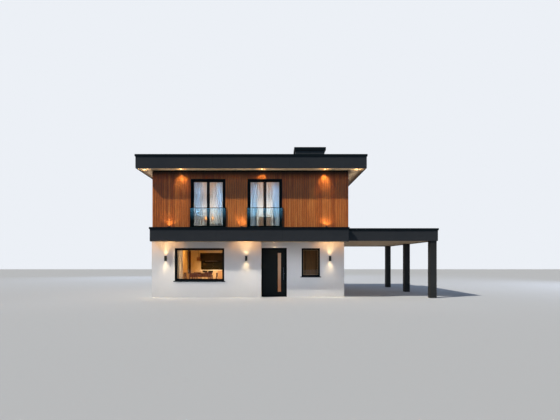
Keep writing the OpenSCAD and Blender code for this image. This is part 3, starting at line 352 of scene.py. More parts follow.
finishes = {
    "render": renderFinish(),
    # Timber boards, darkened towards the soffit as painted shade under the roof
    "timber": woodFinish("timberBoards", (126, 62, 24), (204, 112, 44), (240, 160, 82), 0.6, 30.0,
                         bump=0.12, specular=0.4, boards=True, eavesShade=(5.24, 5.56, 0.04)),
    "sheet": paintedFinish("anthraciteSheet", (55, 56, 59), (61, 62, 65), (0.55, 0.68), specular=0.15),
    "black": paintedFinish("blackSheet", (15, 19, 21), (20, 24, 26), (0.5, 0.62), specular=0.12),
    "soffit": paintedFinish("soffitBoard", (222, 203, 172), (230, 212, 184), (0.6, 0.75), specular=0.2),
    "column": paintedFinish("columnCoat", (48, 48, 48), (54, 54, 53), (0.6, 0.75), grain=250.0, bump=0.2,
                            specular=0.12),
    "roof": ceilingFinish("roofMembrane", (118, 118, 115), (134, 134, 131), (214, 205, 196)),
    "floor": ceilingFinish("floorOak", (138, 98, 62), (160, 118, 78), (222, 206, 180)),
    "tiles": laneFinish("floorTiles", (146, 134, 118), (160, 148, 132), 0.6),
    "frame": paintedFinish("frameBlack", (7, 7, 8), (10, 10, 11), (0.42, 0.55), specular=0.08),
    "glass": glassFinish("windowGlass", (240, 245, 246), ior=1.3),
    "guard": glassFinish("guardGlass", (234, 243, 244), ior=1.8),
    "frosted": glassFinish("stripGlass", (236, 208, 174), 0.4),
    "steel": paintedFinish("brushedSteel", (150, 150, 152), (176, 176, 178), (0.25, 0.4), grain=900.0,
                           metallic=1.0),
    "darkSteel": paintedFinish("darkSteel", (74, 78, 84), (90, 94, 100), (0.3, 0.42), grain=900.0,
                               metallic=1.0),
    "tan": woodFinish("tanOak", (150, 112, 72), (178, 136, 92), (198, 156, 110)),
    "lining": woodFinish("liningWood", (54, 32, 10), (76, 46, 14), (94, 58, 20), 0.5, specular=0.2),
    "slat": woodFinish("slatWood", (76, 47, 20), (108, 70, 32), (132, 88, 42), 0.55, 60.0, specular=0.12,
                       boards=True),
    "rail": paintedFinish("blindRail", (150, 112, 72), (164, 124, 82)),
    "tape": paintedFinish("blindTape", (52, 34, 18), (62, 42, 24), (0.7, 0.85), specular=0.1),
    "splash": paintedFinish("splashGlass", (34, 29, 14), (40, 34, 17), (0.2, 0.3), specular=0.2),
    "brass": paintedFinish("lampBrass", (150, 118, 66), (168, 134, 80), (0.3, 0.42), metallic=1.0),
    "lamp": paintedFinish("lampBlack", (18, 17, 16), (24, 23, 22), (0.35, 0.5)),
    "lens": glowFinish("lampLens", (255, 214, 150), 6.0),
    # Sheer: the blue where it is gathered is painted cool sky light and reflection
    "sheer": clothFinish("sheerCloth", (244, 236, 234), (212, 230, 250), 1500.0, (0.3, 0.66, 0.5)),
    "drape": clothFinish("drapeCloth", (240, 204, 160), (240, 204, 160), 900.0),
    "furniture": woodFinish("furnitureWood", (54, 26, 7), (88, 46, 14), (116, 68, 24)),
    "cabinet": woodFinish("cabinetOak", (32, 22, 9), (46, 32, 13), (58, 41, 19), 0.5, specular=0.15),
    "front": paintedFinish("creamFront", (206, 176, 138), (214, 186, 148), (0.35, 0.45)),
    "worktop": paintedFinish("worktopStone", (226, 214, 190), (236, 226, 204), (0.25, 0.4), grain=90.0),
    "shade": paintedFinish("shadeEnamel", (64, 38, 14), (74, 44, 17), (0.3, 0.4)),
    "linen": glowFinish("linenShade", (168, 130, 94), 0.35),
    "leaf": paintedFinish("doorLeafCoat", (18, 20, 19), (23, 25, 24), (0.55, 0.68), specular=0.1),
    "rubber": paintedFinish("sealRubber", (12, 12, 12), (16, 16, 16), (0.7, 0.85)),
    "dresser": woodFinish("dresserOak", (60, 44, 30), (92, 66, 42), (120, 90, 58)),
    "greyCase": paintedFinish("greyLacquer", (70, 66, 64), (78, 74, 72), (0.4, 0.5)),
}
print("finishes:", len(finishes))

meshWork = {"doubles": 1e-5, "flat": math.radians(0.5), "discSides": 40}


# The merged mesh of one or more nodes; flat makes their flat faces whole again
def mergedCopy(*names, flat=True):
    mesh = bmesh.new()
    for name in names:
        mesh.from_mesh(nodes[name].data)
    bmesh.ops.remove_doubles(mesh, verts=mesh.verts, dist=meshWork["doubles"])
    if flat:
        bmesh.ops.dissolve_limit(mesh, angle_limit=meshWork["flat"], verts=mesh.verts, edges=mesh.edges)
    return mesh


# Solids of a node: the lowest and highest corners of each loose part
def solidsOf(node):
    mesh = mergedCopy(node, flat=False)
    left, found = set(mesh.verts), []
    while left:
        grown, front = set(), [left.pop()]
        while front:
            corner = front.pop()
            grown.add(corner)
            for edge in corner.link_edges:
                other = edge.other_vert(corner)
                if other in left:
                    left.discard(other)
                    front.append(other)
        spots = [corner.co for corner in grown]
        found.append(tuple(Vector([pick(s[i] for s in spots) for i in range(3)]) for pick in (min, max)))
    mesh.free()
    return sorted(found, key=lambda b: tuple(round(x, 3) for x in b[0]))


def middleOf(low, high):
    return (low + high) / 2


def setFinish(corners, finish):
    for face in {f for corner in corners for f in corner.link_faces}:
        face.material_index = finish


# Each face gets the finish that the rule picks for its centre
def paintBy(mesh, rule):
    for face in mesh.faces:
        face.material_index = rule(face.calc_center_median())


def addSlab(mesh, low, high, finish=0):
    low, high = Vector(low), Vector(high)
    matrix = Matrix.Translation(middleOf(low, high)) @ Matrix.Diagonal((*(high - low), 1))
    setFinish(bmesh.ops.create_cube(mesh, size=1, matrix=matrix)["verts"], finish)


def addDisc(mesh, centre, radius, thick, finish=0, turn=Matrix()):
    made = bmesh.ops.create_cone(mesh, cap_ends=True, segments=meshWork["discSides"], radius1=radius,
                                 radius2=radius, depth=thick, matrix=Matrix.Translation(centre) @ turn)
    setFinish(made["verts"], finish)


# Sets a finished part in its place and adds it to a mesh
def pourInto(mesh, part, place=None):
    if place is not None:
        bmesh.ops.transform(part, matrix=place, verts=part.verts)
    data = bpy.data.meshes.new("part")
    part.to_mesh(data)
    part.free()
    mesh.from_mesh(data)
    bpy.data.meshes.remove(data)


upright = Matrix.Rotation(math.radians(90), 4, "X")


# An upright rectangular ring with the given bar width, facing -Y
def addRing(mesh, low, high, bar, finish=0):
    low, high = Vector(low), Vector(high)
    part = bmesh.new()
    size, centre = high - low, middleOf(low, high)
    matrix = (Matrix.Translation((centre.x, low.y, centre.z)) @ upright
              @ Matrix.Diagonal((size.x, size.z, 1, 1)))
    bmesh.ops.create_grid(part, x_segments=1, y_segments=1, size=0.5, matrix=matrix)
    inner = part.faces[:]
    bmesh.ops.inset_region(part, faces=inner, thickness=bar, use_even_offset=True, use_boundary=True)
    bmesh.ops.delete(part, geom=inner, context="FACES")
    grown = bmesh.ops.extrude_face_region(part, geom=part.faces[:])["geom"]
    bmesh.ops.translate(part, vec=(0, size.y, 0),
                        verts=[g for g in grown if isinstance(g, bmesh.types.BMVert)])
    bmesh.ops.recalc_face_normals(part, faces=part.faces)
    setFinish(part.verts, finish)
    pourInto(mesh, part)


def bevelSharp(mesh, width, segments=1, angle=30, only=None):
    mesh.normal_update()
    limit = math.radians(angle)
    edges = [e for e in (only or mesh.edges) if len(e.link_faces) == 2 and e.calc_face_angle(0) > limit]
    bmesh.ops.bevel(mesh, geom=edges, offset=width, offset_type="OFFSET", segments=segments, profile=0.5,
                    affect="EDGES", material=-1, clamp_overlap=True)


def newObject(name, mesh, materials):
    data = bpy.data.meshes.new(name)
    mesh.to_mesh(data)
    mesh.free()
    for material in materials:
        data.materials.append(material)
    made = bpy.data.objects.new(name, data)
    scene.collection.objects.link(made)
    return made


def finishPiece(name, mesh, finishNames, body="house", replaced=(), smooth=False):
    piece = newObject(name, mesh, [finishes[finishName] for finishName in finishNames])
    for polygon in piece.data.polygons:
        polygon.use_smooth = smooth
    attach(piece, body)
    if replaced:
        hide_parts(*replaced)
    return piece


def coat(finishName, *names):
    for name in names:
        data = nodes[name].data
        if data.materials:
            for i in range(len(data.materials)):
                data.materials[i] = finishes[finishName]
        else:
            data.materials.append(finishes[finishName])


# A CAD piece with its edges eased: a merged copy takes the node's place
def easedCopy(node, finishName, width, body="house", angle=30):
    mesh = mergedCopy(node)
    bevelSharp(mesh, width, 2, angle)
    finishPiece(node + "_eased", mesh, [finishName], body, [node])


def turnedTo(corner, degrees):
    return Matrix.Translation(corner) @ Matrix.Rotation(math.radians(degrees), 4, "Z")


# Where a solid stands in its wall: x to the right seen from outside, y inwards, z up
def wallPlace(low, high):
    size, centre = high - low, middleOf(low, high)
    if size.x > size.y:
        corner, turn = ((low.x, low.y), 0) if centre.y < 0 else ((high.x, high.y), 180)
    else:
        corner, turn = ((low.x, high.y), -90) if centre.x < 0 else ((high.x, low.y), 90)
    return turnedTo((*corner, low.z), turn), max(size.x, size.y), size.z


# The upper storey's outline, the soffit's level and the top of the storey band
upper = {"low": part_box("upper_front_wall")[0],
         "high": Vector((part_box("upper_front_wall")[1].x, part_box("upper_rear_wall")[1].y,
                         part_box("upper_front_wall")[1].z))}
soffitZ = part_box("roof_soffit")[0].z
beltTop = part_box("storey_belt")[1].z

# Upright boards on all four sides, cut round the windows, in front of the wall's core; they stop headGap below
# the soffit, where the black core shows as a band of painted shade
cladding = {"pitch": 0.1, "thick": 0.022, "gap": 0.008, "edge": 0.008, "uneven": 0.0012, "lining": 0.012,
            "footGap": 0.008, "headGap": 0.06, "shortest": 0.02, "firstTint": 0.5, "tintStep": 0.25,
            "aboveMiddle": 0.5}


def boardEdges(start, end, marks):
    stops = [start, *sorted(m for m in marks if start < m < end), end]
    edges = []
    for a, b in zip(stops, stops[1:]):
        count = max(1, round((b - a) / cladding["pitch"]))
        edges += [a + (b - a) * i / count for i in range(count)]
    return edges + [end]


def addBoards(mesh, place, width, openings):
    w = cladding
    lining, gap, thick = w["lining"], w["gap"], w["thick"]
    holes = [(x0 - lining, x1 + lining, z0 - lining, z1 + lining) for x0, x1, z0, z1 in openings]
    edges = boardEdges(0, width, [x for hole in holes for x in hole[:2]])
    foot, head = beltTop + w["footGap"], soffitZ - w["headGap"]
    side = bmesh.new()
    for left, right in zip(edges, edges[1:]):
        runs = [(foot, head)]
        for x0, x1, z0, z1 in holes:
            if x0 < (left + right) / 2 < x1:
                runs = [r for r in ((foot, z0), (z1, head)) if r[1] - r[0] > w["shortest"]]
        for low, high in runs:
            front = random.random() * w["uneven"]
            addSlab(side, (left + gap / 2, front, low), (right - gap / 2, thick, high))
    bevelSharp(side, w["edge"],
               only=[e for e in side.edges if abs(e.verts[0].co.z - e.verts[1].co.z) > w["shortest"] / 2
                     and max(v.co.y for v in e.verts) < thick / 2])
    # Each board's own tint, well apart from its neighbour's; a board above a window has its own too
    layer = side.faces.layers.float.new("boardSeed")
    tints = [w["firstTint"]]
    while len(tints) < 2 * len(edges):
        tint = random.random()
        if abs(tint - tints[-1]) > w["tintStep"]:
            tints.append(tint)
    middle = (foot + head) / 2 + w["aboveMiddle"]
    for face in side.faces:
        centre = face.calc_center_median()
        index = bisect.bisect(edges, centre.x)
        face[layer] = tints[2 * index - (1 if centre.z > middle else 0)] if openings else tints[index]
    for x0, x1, z0, z1 in openings:
        bottom = max(z0 - lining, foot)
        for a, b in (((x0 - lining, bottom), (x0, z1 + lining)), ((x1, bottom), (x1 + lining, z1 + lining)),
                     ((x0, z1), (x1, z1 + lining)), ((x0, z0 - lining), (x1, z0))):
            if b[1] > foot and a[1] >= bottom:
                addSlab(side, (a[0], 0, a[1]), (b[0], thick, b[1]), 1)
    pourInto(mesh, side, place)


def makeCladding():
    low, high = upper["low"], upper["high"]
    thick = cladding["thick"]
    tall = solidsOf("tall_window_frames")
    small = [b for b in solidsOf("small_window_frames") if b[0].z > beltTop]
    size = high - low
    sides = [((low.x, low.y, 0), 0, size.x, [b for b in tall if b[0].y < 0], 0),
             ((high.x, high.y, 0), 180, size.x, [b for b in tall if b[0].y > 0], 0),
             ((low.x, high.y, 0), -90, size.y, [b for b in small if b[0].x < 0], thick),
             ((high.x, low.y, 0), 90, size.y, [b for b in small if b[0].x > 0], thick)]
    mesh = bmesh.new()
    mesh.faces.layers.float.new("boardSeed")
    for corner, turn, width, windows, inset in sides:
        place = turnedTo(corner, turn)
        back = place.inverted()
        openings = []
        for a, b in windows:
            ends = sorted(((back @ a).x, (back @ b).x))
            openings.append((ends[0] - inset, ends[1] - inset, a.z, b.z))
        addBoards(mesh, place @ Matrix.Translation((inset, 0, 0)), width - 2 * inset, openings)
    finishPiece("timber_boards", mesh, ["timber", "black"])


# The wall behind the boards: a merged copy set back, with sheet-lined reveals; its black outer face shows as
# painted shade in the gap under the soffit
def makeUpperCore():
    low, high, thick = upper["low"], upper["high"], cladding["thick"]
    walls = ["upper_front_wall", "upper_left_wall", "upper_right_wall", "upper_rear_wall"]
    mesh = mergedCopy(*walls, flat=False)
    near = 1e-4
    for corner in mesh.verts:
        spot = corner.co
        for axis in (0, 1):
            if spot[axis] < low[axis] + near:
                spot[axis] += thick
            elif spot[axis] > high[axis] - near:
                spot[axis] -= thick
    mesh.normal_update()
    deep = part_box("left_wall")[1].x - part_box("left_wall")[0].x - near
    # Outer faces and reveals are black; the black band under the soffit is painted shade
    paintBy(mesh, lambda centre: 0 if (low.x + deep < centre.x < high.x - deep
                                       and low.y + deep < centre.y < high.y - deep) else 1)
    finishPiece("upper_wall_core", mesh, ["render", "black"], replaced=walls)


makeCladding()
makeUpperCore()
print("cladding done")

# Sheet-clad pieces: flat panels with narrow joints over a dark core
sheetWork = {"skin": 0.004, "joint": 0.005, "length": 2.9, "chimneyLength": 0.75, "edge": 0.0012,
             "copingEdge": 0.003, "sillEdge": 0.0012, "columnEdge": 0.006}
# Soffit boards between wall and fascia, with open joints
soffitWork = {"board": 1.2, "lanes": 3, "thick": 0.02, "joint": 0.004, "edge": 0.001}
# Axis and end of each side of a box
boxSides = {"left": (0, 0), "right": (0, 1), "front": (1, 0), "rear": (1, 1)}


def addPanels(mesh, low, high, axis, length, joint):
    low, high = Vector(low), Vector(high)
    span = high[axis] - low[axis]
    count = max(1, round(span / length))
    for i in range(count):
        a, b = low.copy(), high.copy()
        a[axis] = low[axis] + span * i / count + (joint / 2 if i else 0)
        b[axis] = low[axis] + span * (i + 1) / count - (joint / 2 if i < count - 1 else 0)
        addSlab(mesh, a, b)


# Skins on the named sides of a box; the box itself goes in as the core, drawn in by the skin
def addSkinnedBox(mesh, low, high, sides, length):
    low, high = Vector(low), Vector(high)
    skin = sheetWork["skin"]
    inLow, inHigh = low.copy(), high.copy()
    faces = [boxSides[side] for side in sides]
    for axis, end in faces:
        if end:
            inHigh[axis] -= skin
        else:
            inLow[axis] += skin
    addSlab(mesh, inLow, inHigh, 1)
    for axis, end in faces:
        a, b = (low.copy(), high.copy()) if axis == 1 else (inLow.copy(), inHigh.copy())
        a.z, b.z = low.z, high.z
        if end:
            a[axis], b[axis] = high[axis] - skin, high[axis]
        else:
            a[axis], b[axis] = low[axis], low[axis] + skin
        addPanels(mesh, a, b, 1 - axis, length, sheetWork["joint"])


# Four boxes round an inner rectangle in plan: front and rear over the full width, left and right between
def ringBoxes(low, high, left, right, front, rear):
    return {"front": (low, (high.x, front, high.z)), "rear": ((low.x, rear, low.z), high),
            "left": ((low.x, front, low.z), (left, rear, high.z)),
            "right": ((right, front, low.z), (high.x, rear, high.z))}


# Every box is a loose solid of the node, with the sides that stand free
def makeSheets(node, boxes, length=sheetWork["length"]):
    mesh = bmesh.new()
    for low, high, *sides in boxes:
        addSkinnedBox(mesh, low, high, sides, length)
    bevelSharp(mesh, sheetWork["edge"])
    finishPiece(node + "_sheets", mesh, ["sheet", "black"], replaced=[node])


def makeRoofFascia():
    low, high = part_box("roof_fascia")
    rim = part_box("roof_soffit")[0].x - low.x
    ring = ringBoxes(low, high, low.x + rim, high.x - rim, low.y + rim, high.y - rim)
    makeSheets("roof_fascia", [(*box, side) for side, box in ring.items()])


def makeCanopy():
    low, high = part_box("canopy")
    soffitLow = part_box("lower_soffits")[0]
    rim = soffitLow.x - low.x
    left, right, front = low.x + rim, high.x - rim, low.y + rim
    ring = ringBoxes(low, high, left, right, front, high.y)
    core = ((left, front, soffitLow.z + soffitWork["thick"]), (right, high.y, high.z))
    makeSheets("canopy", [core, *((*ring[side], side) for side in ("front", "left", "right"))])


# The carport's fascia starts at the canopy and rises to full height beyond the canopy's coping
def makeCarportFascia():
    low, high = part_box("carport_fascia")
    rim = high.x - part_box("carport_columns")[1].x
    start, notch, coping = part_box("canopy")[1].x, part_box("canopy_coping")[1].x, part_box("canopy_coping")[0].z
    ring = ringBoxes(low, high, start, high.x - rim, low.y + rim, high.y - rim)
    makeSheets("carport_fascia", [
        ((start, low.y, low.z), (notch, low.y + rim, coping), "front"),
        ((notch, low.y, low.z), ring["front"][1], "front"),
        ((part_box("storey_belt")[1].x, high.y - rim, low.z), high, "rear"), (*ring["right"], "right")])


makeRoofFascia()
makeSheets("chimney", [(*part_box("chimney"), "left", "right", "front", "rear")], sheetWork["chimneyLength"])
makeCanopy()
makeCarportFascia()
coat("sheet", "storey_belt")
for name in ("roof_coping", "canopy_coping", "carport_coping", "chimney_cap"):
    easedCopy(name, "black", sheetWork["copingEdge"])
easedCopy("window_sills", "black", sheetWork["sillEdge"])
easedCopy("carport_columns", "column", sheetWork["columnEdge"])
print("sheet work done")


def makeSoffit(name, node, runs):
    mesh = bmesh.new()
    for low, high, axis, length in runs:
        addPanels(mesh, low, high, axis, length, soffitWork["joint"])
    bevelSharp(mesh, soffitWork["edge"])
    finishPiece(name, mesh, ["soffit"], replaced=[node])


def makeRoofSoffit():
    a, b = upper["low"], upper["high"]
    ring = ringBoxes(*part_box("roof_soffit"), a.x, b.x, a.y, b.y)
    makeSoffit("roof_soffit_boards", "roof_soffit", [
        (*box, 1 - boxSides[side][0], soffitWork["board"]) for side, box in ring.items()])


# Under the canopy, over the entrance, beside the house, and in lanes under the carport
def makeLowerSoffits():
    w = soffitWork
    low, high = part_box("lower_soffits")
    canopy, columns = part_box("canopy"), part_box("carport_columns")
    canopyTop, carportZ = low.z + w["thick"], high.z - w["thick"]
    rim = low.x - canopy[0].x
    recess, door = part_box("entrance_wall"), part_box("door_frame")
    start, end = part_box("storey_belt")[1].x, columns[1].x
    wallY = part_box("front_wall")[0].y
    runs = [(low, (canopy[1].x - rim, wallY, canopyTop), 0, w["board"]),
            ((door[0].x, wallY, low.z), (recess[1].x, recess[0].y, canopyTop), 0, w["board"]),
            ((canopy[1].x, columns[0].y, carportZ), (start, canopy[1].y, high.z), 0, w["board"])]
    for i in range(w["lanes"]):
        left = start + (end - start) * i / w["lanes"] + w["joint"] / 2
        right = start + (end - start) * (i + 1) / w["lanes"] - w["joint"] / 2
        runs.append(((left, columns[0].y, carportZ), (right, columns[1].y, high.z), 1, 2 * w["board"]))
    makeSoffit("lower_soffit_boards", "lower_soffits", runs)


makeRoofSoffit()
makeLowerSoffits()
coat("render", "front_wall", "entrance_side_wall", "entrance_wall", "door_lintel", "left_wall",
     "right_wall", "rear_wall")
coat("roof", "roof_slab", "carport_roof")
coat("floor", "upper_floor_slab")
coat("tiles", "ground_floor_slab")
print("soffits and walls done")

# Windows and guards
windowWork = {"frameEdge": 0.0015, "channelEdge": 0.001}
for name in ("wide_window_frames", "small_window_frames", "tall_window_frames",
             "tall_window_casements"):
    easedCopy(name, "frame", windowWork["frameEdge"])
easedCopy("guard_channels", "frame", windowWork["channelEdge"])
coat("glass", "wide_window_glass", "small_window_glass", "tall_window_glass")
coat("guard", "guard_glass")

# Slatted blinds: curved slats, ladder tapes, lighter rails and a thin bead frame
blindWork = {"margin": 0.004, "rail": 0.045, "foot": 0.022, "pitch": 0.0355, "slat": 0.04,
             "thick": 0.0026, "crown": 0.003, "curveSteps": 4, "tilt": 68, "uneven": 1.5, "face": 0.074,
             "bead": 0.016, "beadThick": 0.006, "beadOut": 0.001, "tape": 0.025, "tapeIn": 0.155,
             "tapeThick": 0.0012, "tapeClear": 0.002, "edge": 0.0015}


def addSlats(mesh, width, height):
    w = blindWork
    start = bmesh.new()
    bmesh.ops.create_grid(start, x_segments=1, y_segments=w["curveSteps"], size=0.5,
                          matrix=Matrix.Diagonal((width, w["slat"], 1, 1)))
    for corner in start.verts:
        corner.co.z = w["crown"] * (1 - (2 * corner.co.y / w["slat"]) ** 2)
    bmesh.ops.solidify(start, geom=start.faces[:], thickness=w["thick"])
    bmesh.ops.recalc_face_normals(start, faces=start.faces)
    tilt = Matrix.Rotation(math.radians(w["tilt"]), 4, "X")
    data = bpy.data.meshes.new("slat")
    start.to_mesh(data)
    start.free()
    slats = bmesh.new()
    for i in range(int((height - 2 * w["rail"] - 2 * w["margin"]) / w["pitch"])):
        known = len(slats.verts)
        slats.from_mesh(data)
        slats.verts.ensure_lookup_table()
        lean = Matrix.Rotation(math.radians(random.uniform(-w["uneven"], w["uneven"])), 4, "X")
        place = Matrix.Translation((width / 2 + w["margin"], w["rail"] / 2,
                                    w["rail"] / 2 + (i + 1) * w["pitch"]))
        bmesh.ops.transform(slats, matrix=place @ tilt @ lean, verts=slats.verts[known:])
    bpy.data.meshes.remove(data)
    pourInto(mesh, slats)


def makeBlinds():
    w = blindWork
    rail, margin, face = w["rail"], w["margin"], w["face"]
    whole = bmesh.new()
    for (low, high), blind in zip(solidsOf("small_window_frames"), solidsOf("window_blinds")):
        place, width, height = wallPlace(low, high)
        depth = (place.inverted() @ middleOf(*blind)).y - rail / 2
        mesh = bmesh.new()
        left, right, foot = margin, width - margin, margin + w["foot"]
        addSlab(mesh, (left, 0, height - rail), (right, rail, height), 1)
        addSlab(mesh, (left, rail / 4, margin), (right, rail * 3 / 4, foot), 1)
        for x in (w["tapeIn"], width - w["tapeIn"] - w["tape"]):
            for y in (w["tapeClear"], rail - w["tapeClear"] - w["tapeThick"]):
                addSlab(mesh, (x, y, foot), (x + w["tape"], y + w["tapeThick"], height - rail), 2)
        bevelSharp(mesh, w["edge"], only=[e for e in mesh.edges if all(
            f.material_index == 1 for f in e.link_faces)])
        addRing(mesh, (face, w["beadOut"], face),
                (width - face, w["beadOut"] + w["beadThick"], height - face), w["bead"], 1)
        addSlats(mesh, width - 2 * margin, height)
        pourInto(whole, mesh, place @ Matrix.Translation((0, depth, 0)))
    finishPiece("slatted_blinds", whole, ["slat", "rail", "tape"],
                replaced=["window_blinds"])


# Dark wood on the rooms' side of the small windows: linings behind the blinds, a trim on the wall
liningWork = {"board": 0.008, "trim": 0.05, "trimThick": 0.012, "behindBlind": 0.008, "edge": 0.001}


def makeLinings():
    board, trim = liningWork["board"], liningWork["trim"]
    wallLow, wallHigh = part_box("left_wall")
    frames = solidsOf("small_window_frames")
    inset = min(low.x for low, high in frames if low.z < beltTop) - wallLow.x
    far = wallHigh.x - wallLow.x - inset
    whole = bmesh.new()
    for low, high in frames:
        place, width, height = wallPlace(low, high)
        near = min(high.x - low.x, high.y - low.y) + blindWork["rail"] + liningWork["behindBlind"]
        mesh = bmesh.new()
        for x0, z0, x1, z1 in ((0, 0, board, height), (width - board, 0, width, height),
                               (board, 0, width - board, board),
                               (board, height - board, width - board, height)):
            addSlab(mesh, (x0, near, z0), (x1, far, z1))
        bevelSharp(mesh, liningWork["edge"])
        addRing(mesh, (-trim, far, -trim), (width + trim, far + liningWork["trimThick"], height + trim),
                trim + board)
        pourInto(whole, mesh, place)
    finishPiece("window_linings", whole, ["lining"])


# Rubber seals round every pane, outside and inside
gasketWork = {"bite": 0.0135, "width": 0.006, "thick": 0.003}


def makeGaskets():
    bite, thick = gasketWork["bite"], gasketWork["thick"]
    whole = bmesh.new()
    for node in ("wide_window_glass", "small_window_glass", "tall_window_glass"):
        for low, high in solidsOf(node):
            place, width, height = wallPlace(low, high)
            mesh = bmesh.new()
            for y in (-thick, min(high.x - low.x, high.y - low.y)):
                addRing(mesh, (bite, y, bite), (width - bite, y + thick, height - bite),
                        gasketWork["width"])
            pourInto(whole, mesh, place)
    finishPiece("glazing_seals", whole, ["rubber"])


makeBlinds()
makeLinings()
makeGaskets()
print("windows and blinds done")

# Folds: a wave with a slow and a quick bend and a sway towards the foot, and a smaller wave on it
foldWork = {"deep": 0.0265, "flatDeep": 0.35, "fade": 0.35, "slow": (0.25, 7), "quick": (0.12, 17),
            "bend": 5, "sway": (0.35, 2.3), "small": (0.25, 2.7, 1.4), "rows": 26, "footClear": 0.006}
# Sheer curtains: gathered towards the outer edges, hanging almost flat where the pair meets
curtainWork = {"folds": 9, "flatShare": 0.25, "columns": 190, "headDeep": 0.6}
drapeWork = {"folds": 5, "flatShare": -1.0, "columns": 120, "headDeep": 0.7}


def makeCurtain(name, finishName, outward, low, high, w):
    f = foldWork
    width, height = high.x - low.x, high.z - low.z - f["footClear"]
    centre = Vector(((low.x + high.x) / 2, (low.y + high.y) / 2, low.z + f["footClear"] + height / 2))
    mesh = bmesh.new()
    bmesh.ops.create_grid(mesh, x_segments=w["columns"], y_segments=f["rows"], size=0.5,
                          matrix=Matrix.Translation(centre) @ upright @ Matrix.Diagonal(
                              (width, height, 1, 1)))
    layer = mesh.verts.layers.float.new("gather")
    shifts = [random.uniform(0, math.tau) for _ in range(4)]
    for corner in mesh.verts:
        across = (corner.co.x - centre.x) / width * outward + 0.5
        up = (corner.co.z - low.z) / height
        gathered = min(1, max(0, (across - w["flatShare"]) / f["fade"]))
        corner[layer] = gathered
        bend = (f["slow"][0] * math.sin(across * f["slow"][1] + shifts[0])
                + f["quick"][0] * math.sin(across * f["quick"][1] + shifts[1] + up))
        sway = f["sway"][0] * math.sin(up * f["sway"][1] + shifts[2]) * (1 - up)
        wave = math.sin(across * w["folds"] * math.tau + bend * f["bend"] + sway)
        share, times, drift = f["small"]
        small = share * math.sin(across * w["folds"] * times * math.tau + shifts[3] + up * drift)
        reach = (f["deep"] * (f["flatDeep"] + (1 - f["flatDeep"]) * gathered)
                 * (w["headDeep"] + (1 - w["headDeep"]) * (1 - up)))
        corner.co.y += reach * (wave + small)
    uv = mesh.loops.layers.uv.new("clothMap")
    for face in mesh.faces:
        for loop in face.loops:
            loop[uv].uv = (loop.vert.co.x, loop.vert.co.z)
    # The rows of the cloth, each sorted along x
    rows = {}
    for corner in mesh.verts:
        rows.setdefault(round(corner.co.z, 4), []).append(corner.co.copy())
    for row in rows.values():
        row.sort(key=lambda p: p.x)
    piece = finishPiece(name, mesh, [finishName], smooth=True)
    return piece


upperCloth = [b for b in solidsOf("curtains") if b[1].z > beltTop]
drapeLow, drapeHigh = [b for b in solidsOf("curtains") if b[1].z < beltTop][0]
curtains = [makeCurtain("sheer_curtain_%d" % (i + 1), "sheer", 2 * (i % 2) - 1, *b, curtainWork)
            for i, b in enumerate(upperCloth)]
makeCurtain("room_drape", "drape", 1, drapeLow, drapeHigh, drapeWork)
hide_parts("curtains")
coat("steel", "curtain_rails")
print("curtains done")

# Front door, and the lock's round rose with its key cylinder: radius, thickness and finish of each
doorWork = {"edge": 0.0015, "handleEdge": 0.0008, "lockIn": 0.052, "lockZ": 1.06, "lockEdge": 0.001,
            "lockDiscs": ((0.022, 0.008, 0), (0.009, 0.011, 1))}
easedCopy("door_frame", "frame", doorWork["edge"])
easedCopy("door_leaf", "leaf", doorWork["edge"], body="front_door")
easedCopy("door_handle", "darkSteel", doorWork["handleEdge"], body="front_door")
coat("frosted", "door_glass")


def makeLock():
    low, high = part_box("door_leaf")
    mesh = bmesh.new()
    for radius, thick, finish in doorWork["lockDiscs"]:
        centre = (high.x - doorWork["lockIn"], low.y - thick / 2, doorWork["lockZ"])
        addDisc(mesh, centre, radius, thick, finish, upright)
    bevelSharp(mesh, doorWork["lockEdge"])
    finishPiece("door_lock", mesh, ["darkSteel", "brass"], "front_door")


makeLock()

# Lamps: eased housings and glowing lenses
lampWork = {"wallEdge": 0.0015, "spotEdge": 0.0006, "upEdge": 0.001, "lensThick": 0.006,
            "wallLensDown": 0.02, "wallLensIn": 0.006, "spotLensDown": 0.0045, "spotLensIn": 0.008,
            "spotLensThick": 0.004, "upLensDown": 0.008, "upLensRadius": 0.038}
wallLamps = solidsOf("wall_lamps")
spots = solidsOf("soffit_spots")
upSpots = solidsOf("canopy_spots")
easedCopy("wall_lamps", "lamp", lampWork["wallEdge"])
easedCopy("soffit_spots", "steel", lampWork["spotEdge"])
easedCopy("canopy_spots", "lamp", lampWork["upEdge"])


# The middle of a wall lamp's tube, without its arm
def lampAxis(low, high):
    radius = (high.x - low.x) / 2
    return Vector(((low.x + high.x) / 2, low.y + radius, (low.z + high.z) / 2)), radius


def makeLenses():
    w = lampWork
    mesh = bmesh.new()
    for low, high in wallLamps:
        centre, radius = lampAxis(low, high)
        reach = (high.z - low.z) / 2 - w["wallLensDown"]
        for side in (-1, 1):
            addDisc(mesh, centre + Vector((0, 0, side * reach)), radius - w["wallLensIn"], w["lensThick"])
    for low, high in spots:
        centre = middleOf(low, high)
        addDisc(mesh, (centre.x, centre.y, high.z - w["spotLensDown"]),
                (high.x - low.x) / 2 - w["spotLensIn"], w["spotLensThick"])
    for low, high in upSpots:
        centre = middleOf(low, high)
        addDisc(mesh, (centre.x, centre.y, high.z - w["upLensDown"]), w["upLensRadius"], w["lensThick"])
    finishPiece("lamp_lenses", mesh, ["lens"])


makeLenses()
print("door and lamps done")

# Rooms: table, chairs, pendant, kitchen, cabinets, table lamps
roomWork = {"woodEdge": 0.002, "pendantEdge": 0.001}
easedCopy("dining_table", "furniture", roomWork["woodEdge"])
easedCopy("dining_chairs", "furniture", roomWork["woodEdge"], angle=50)
easedCopy("pendant_lamp", "shade", roomWork["pendantEdge"], angle=60)

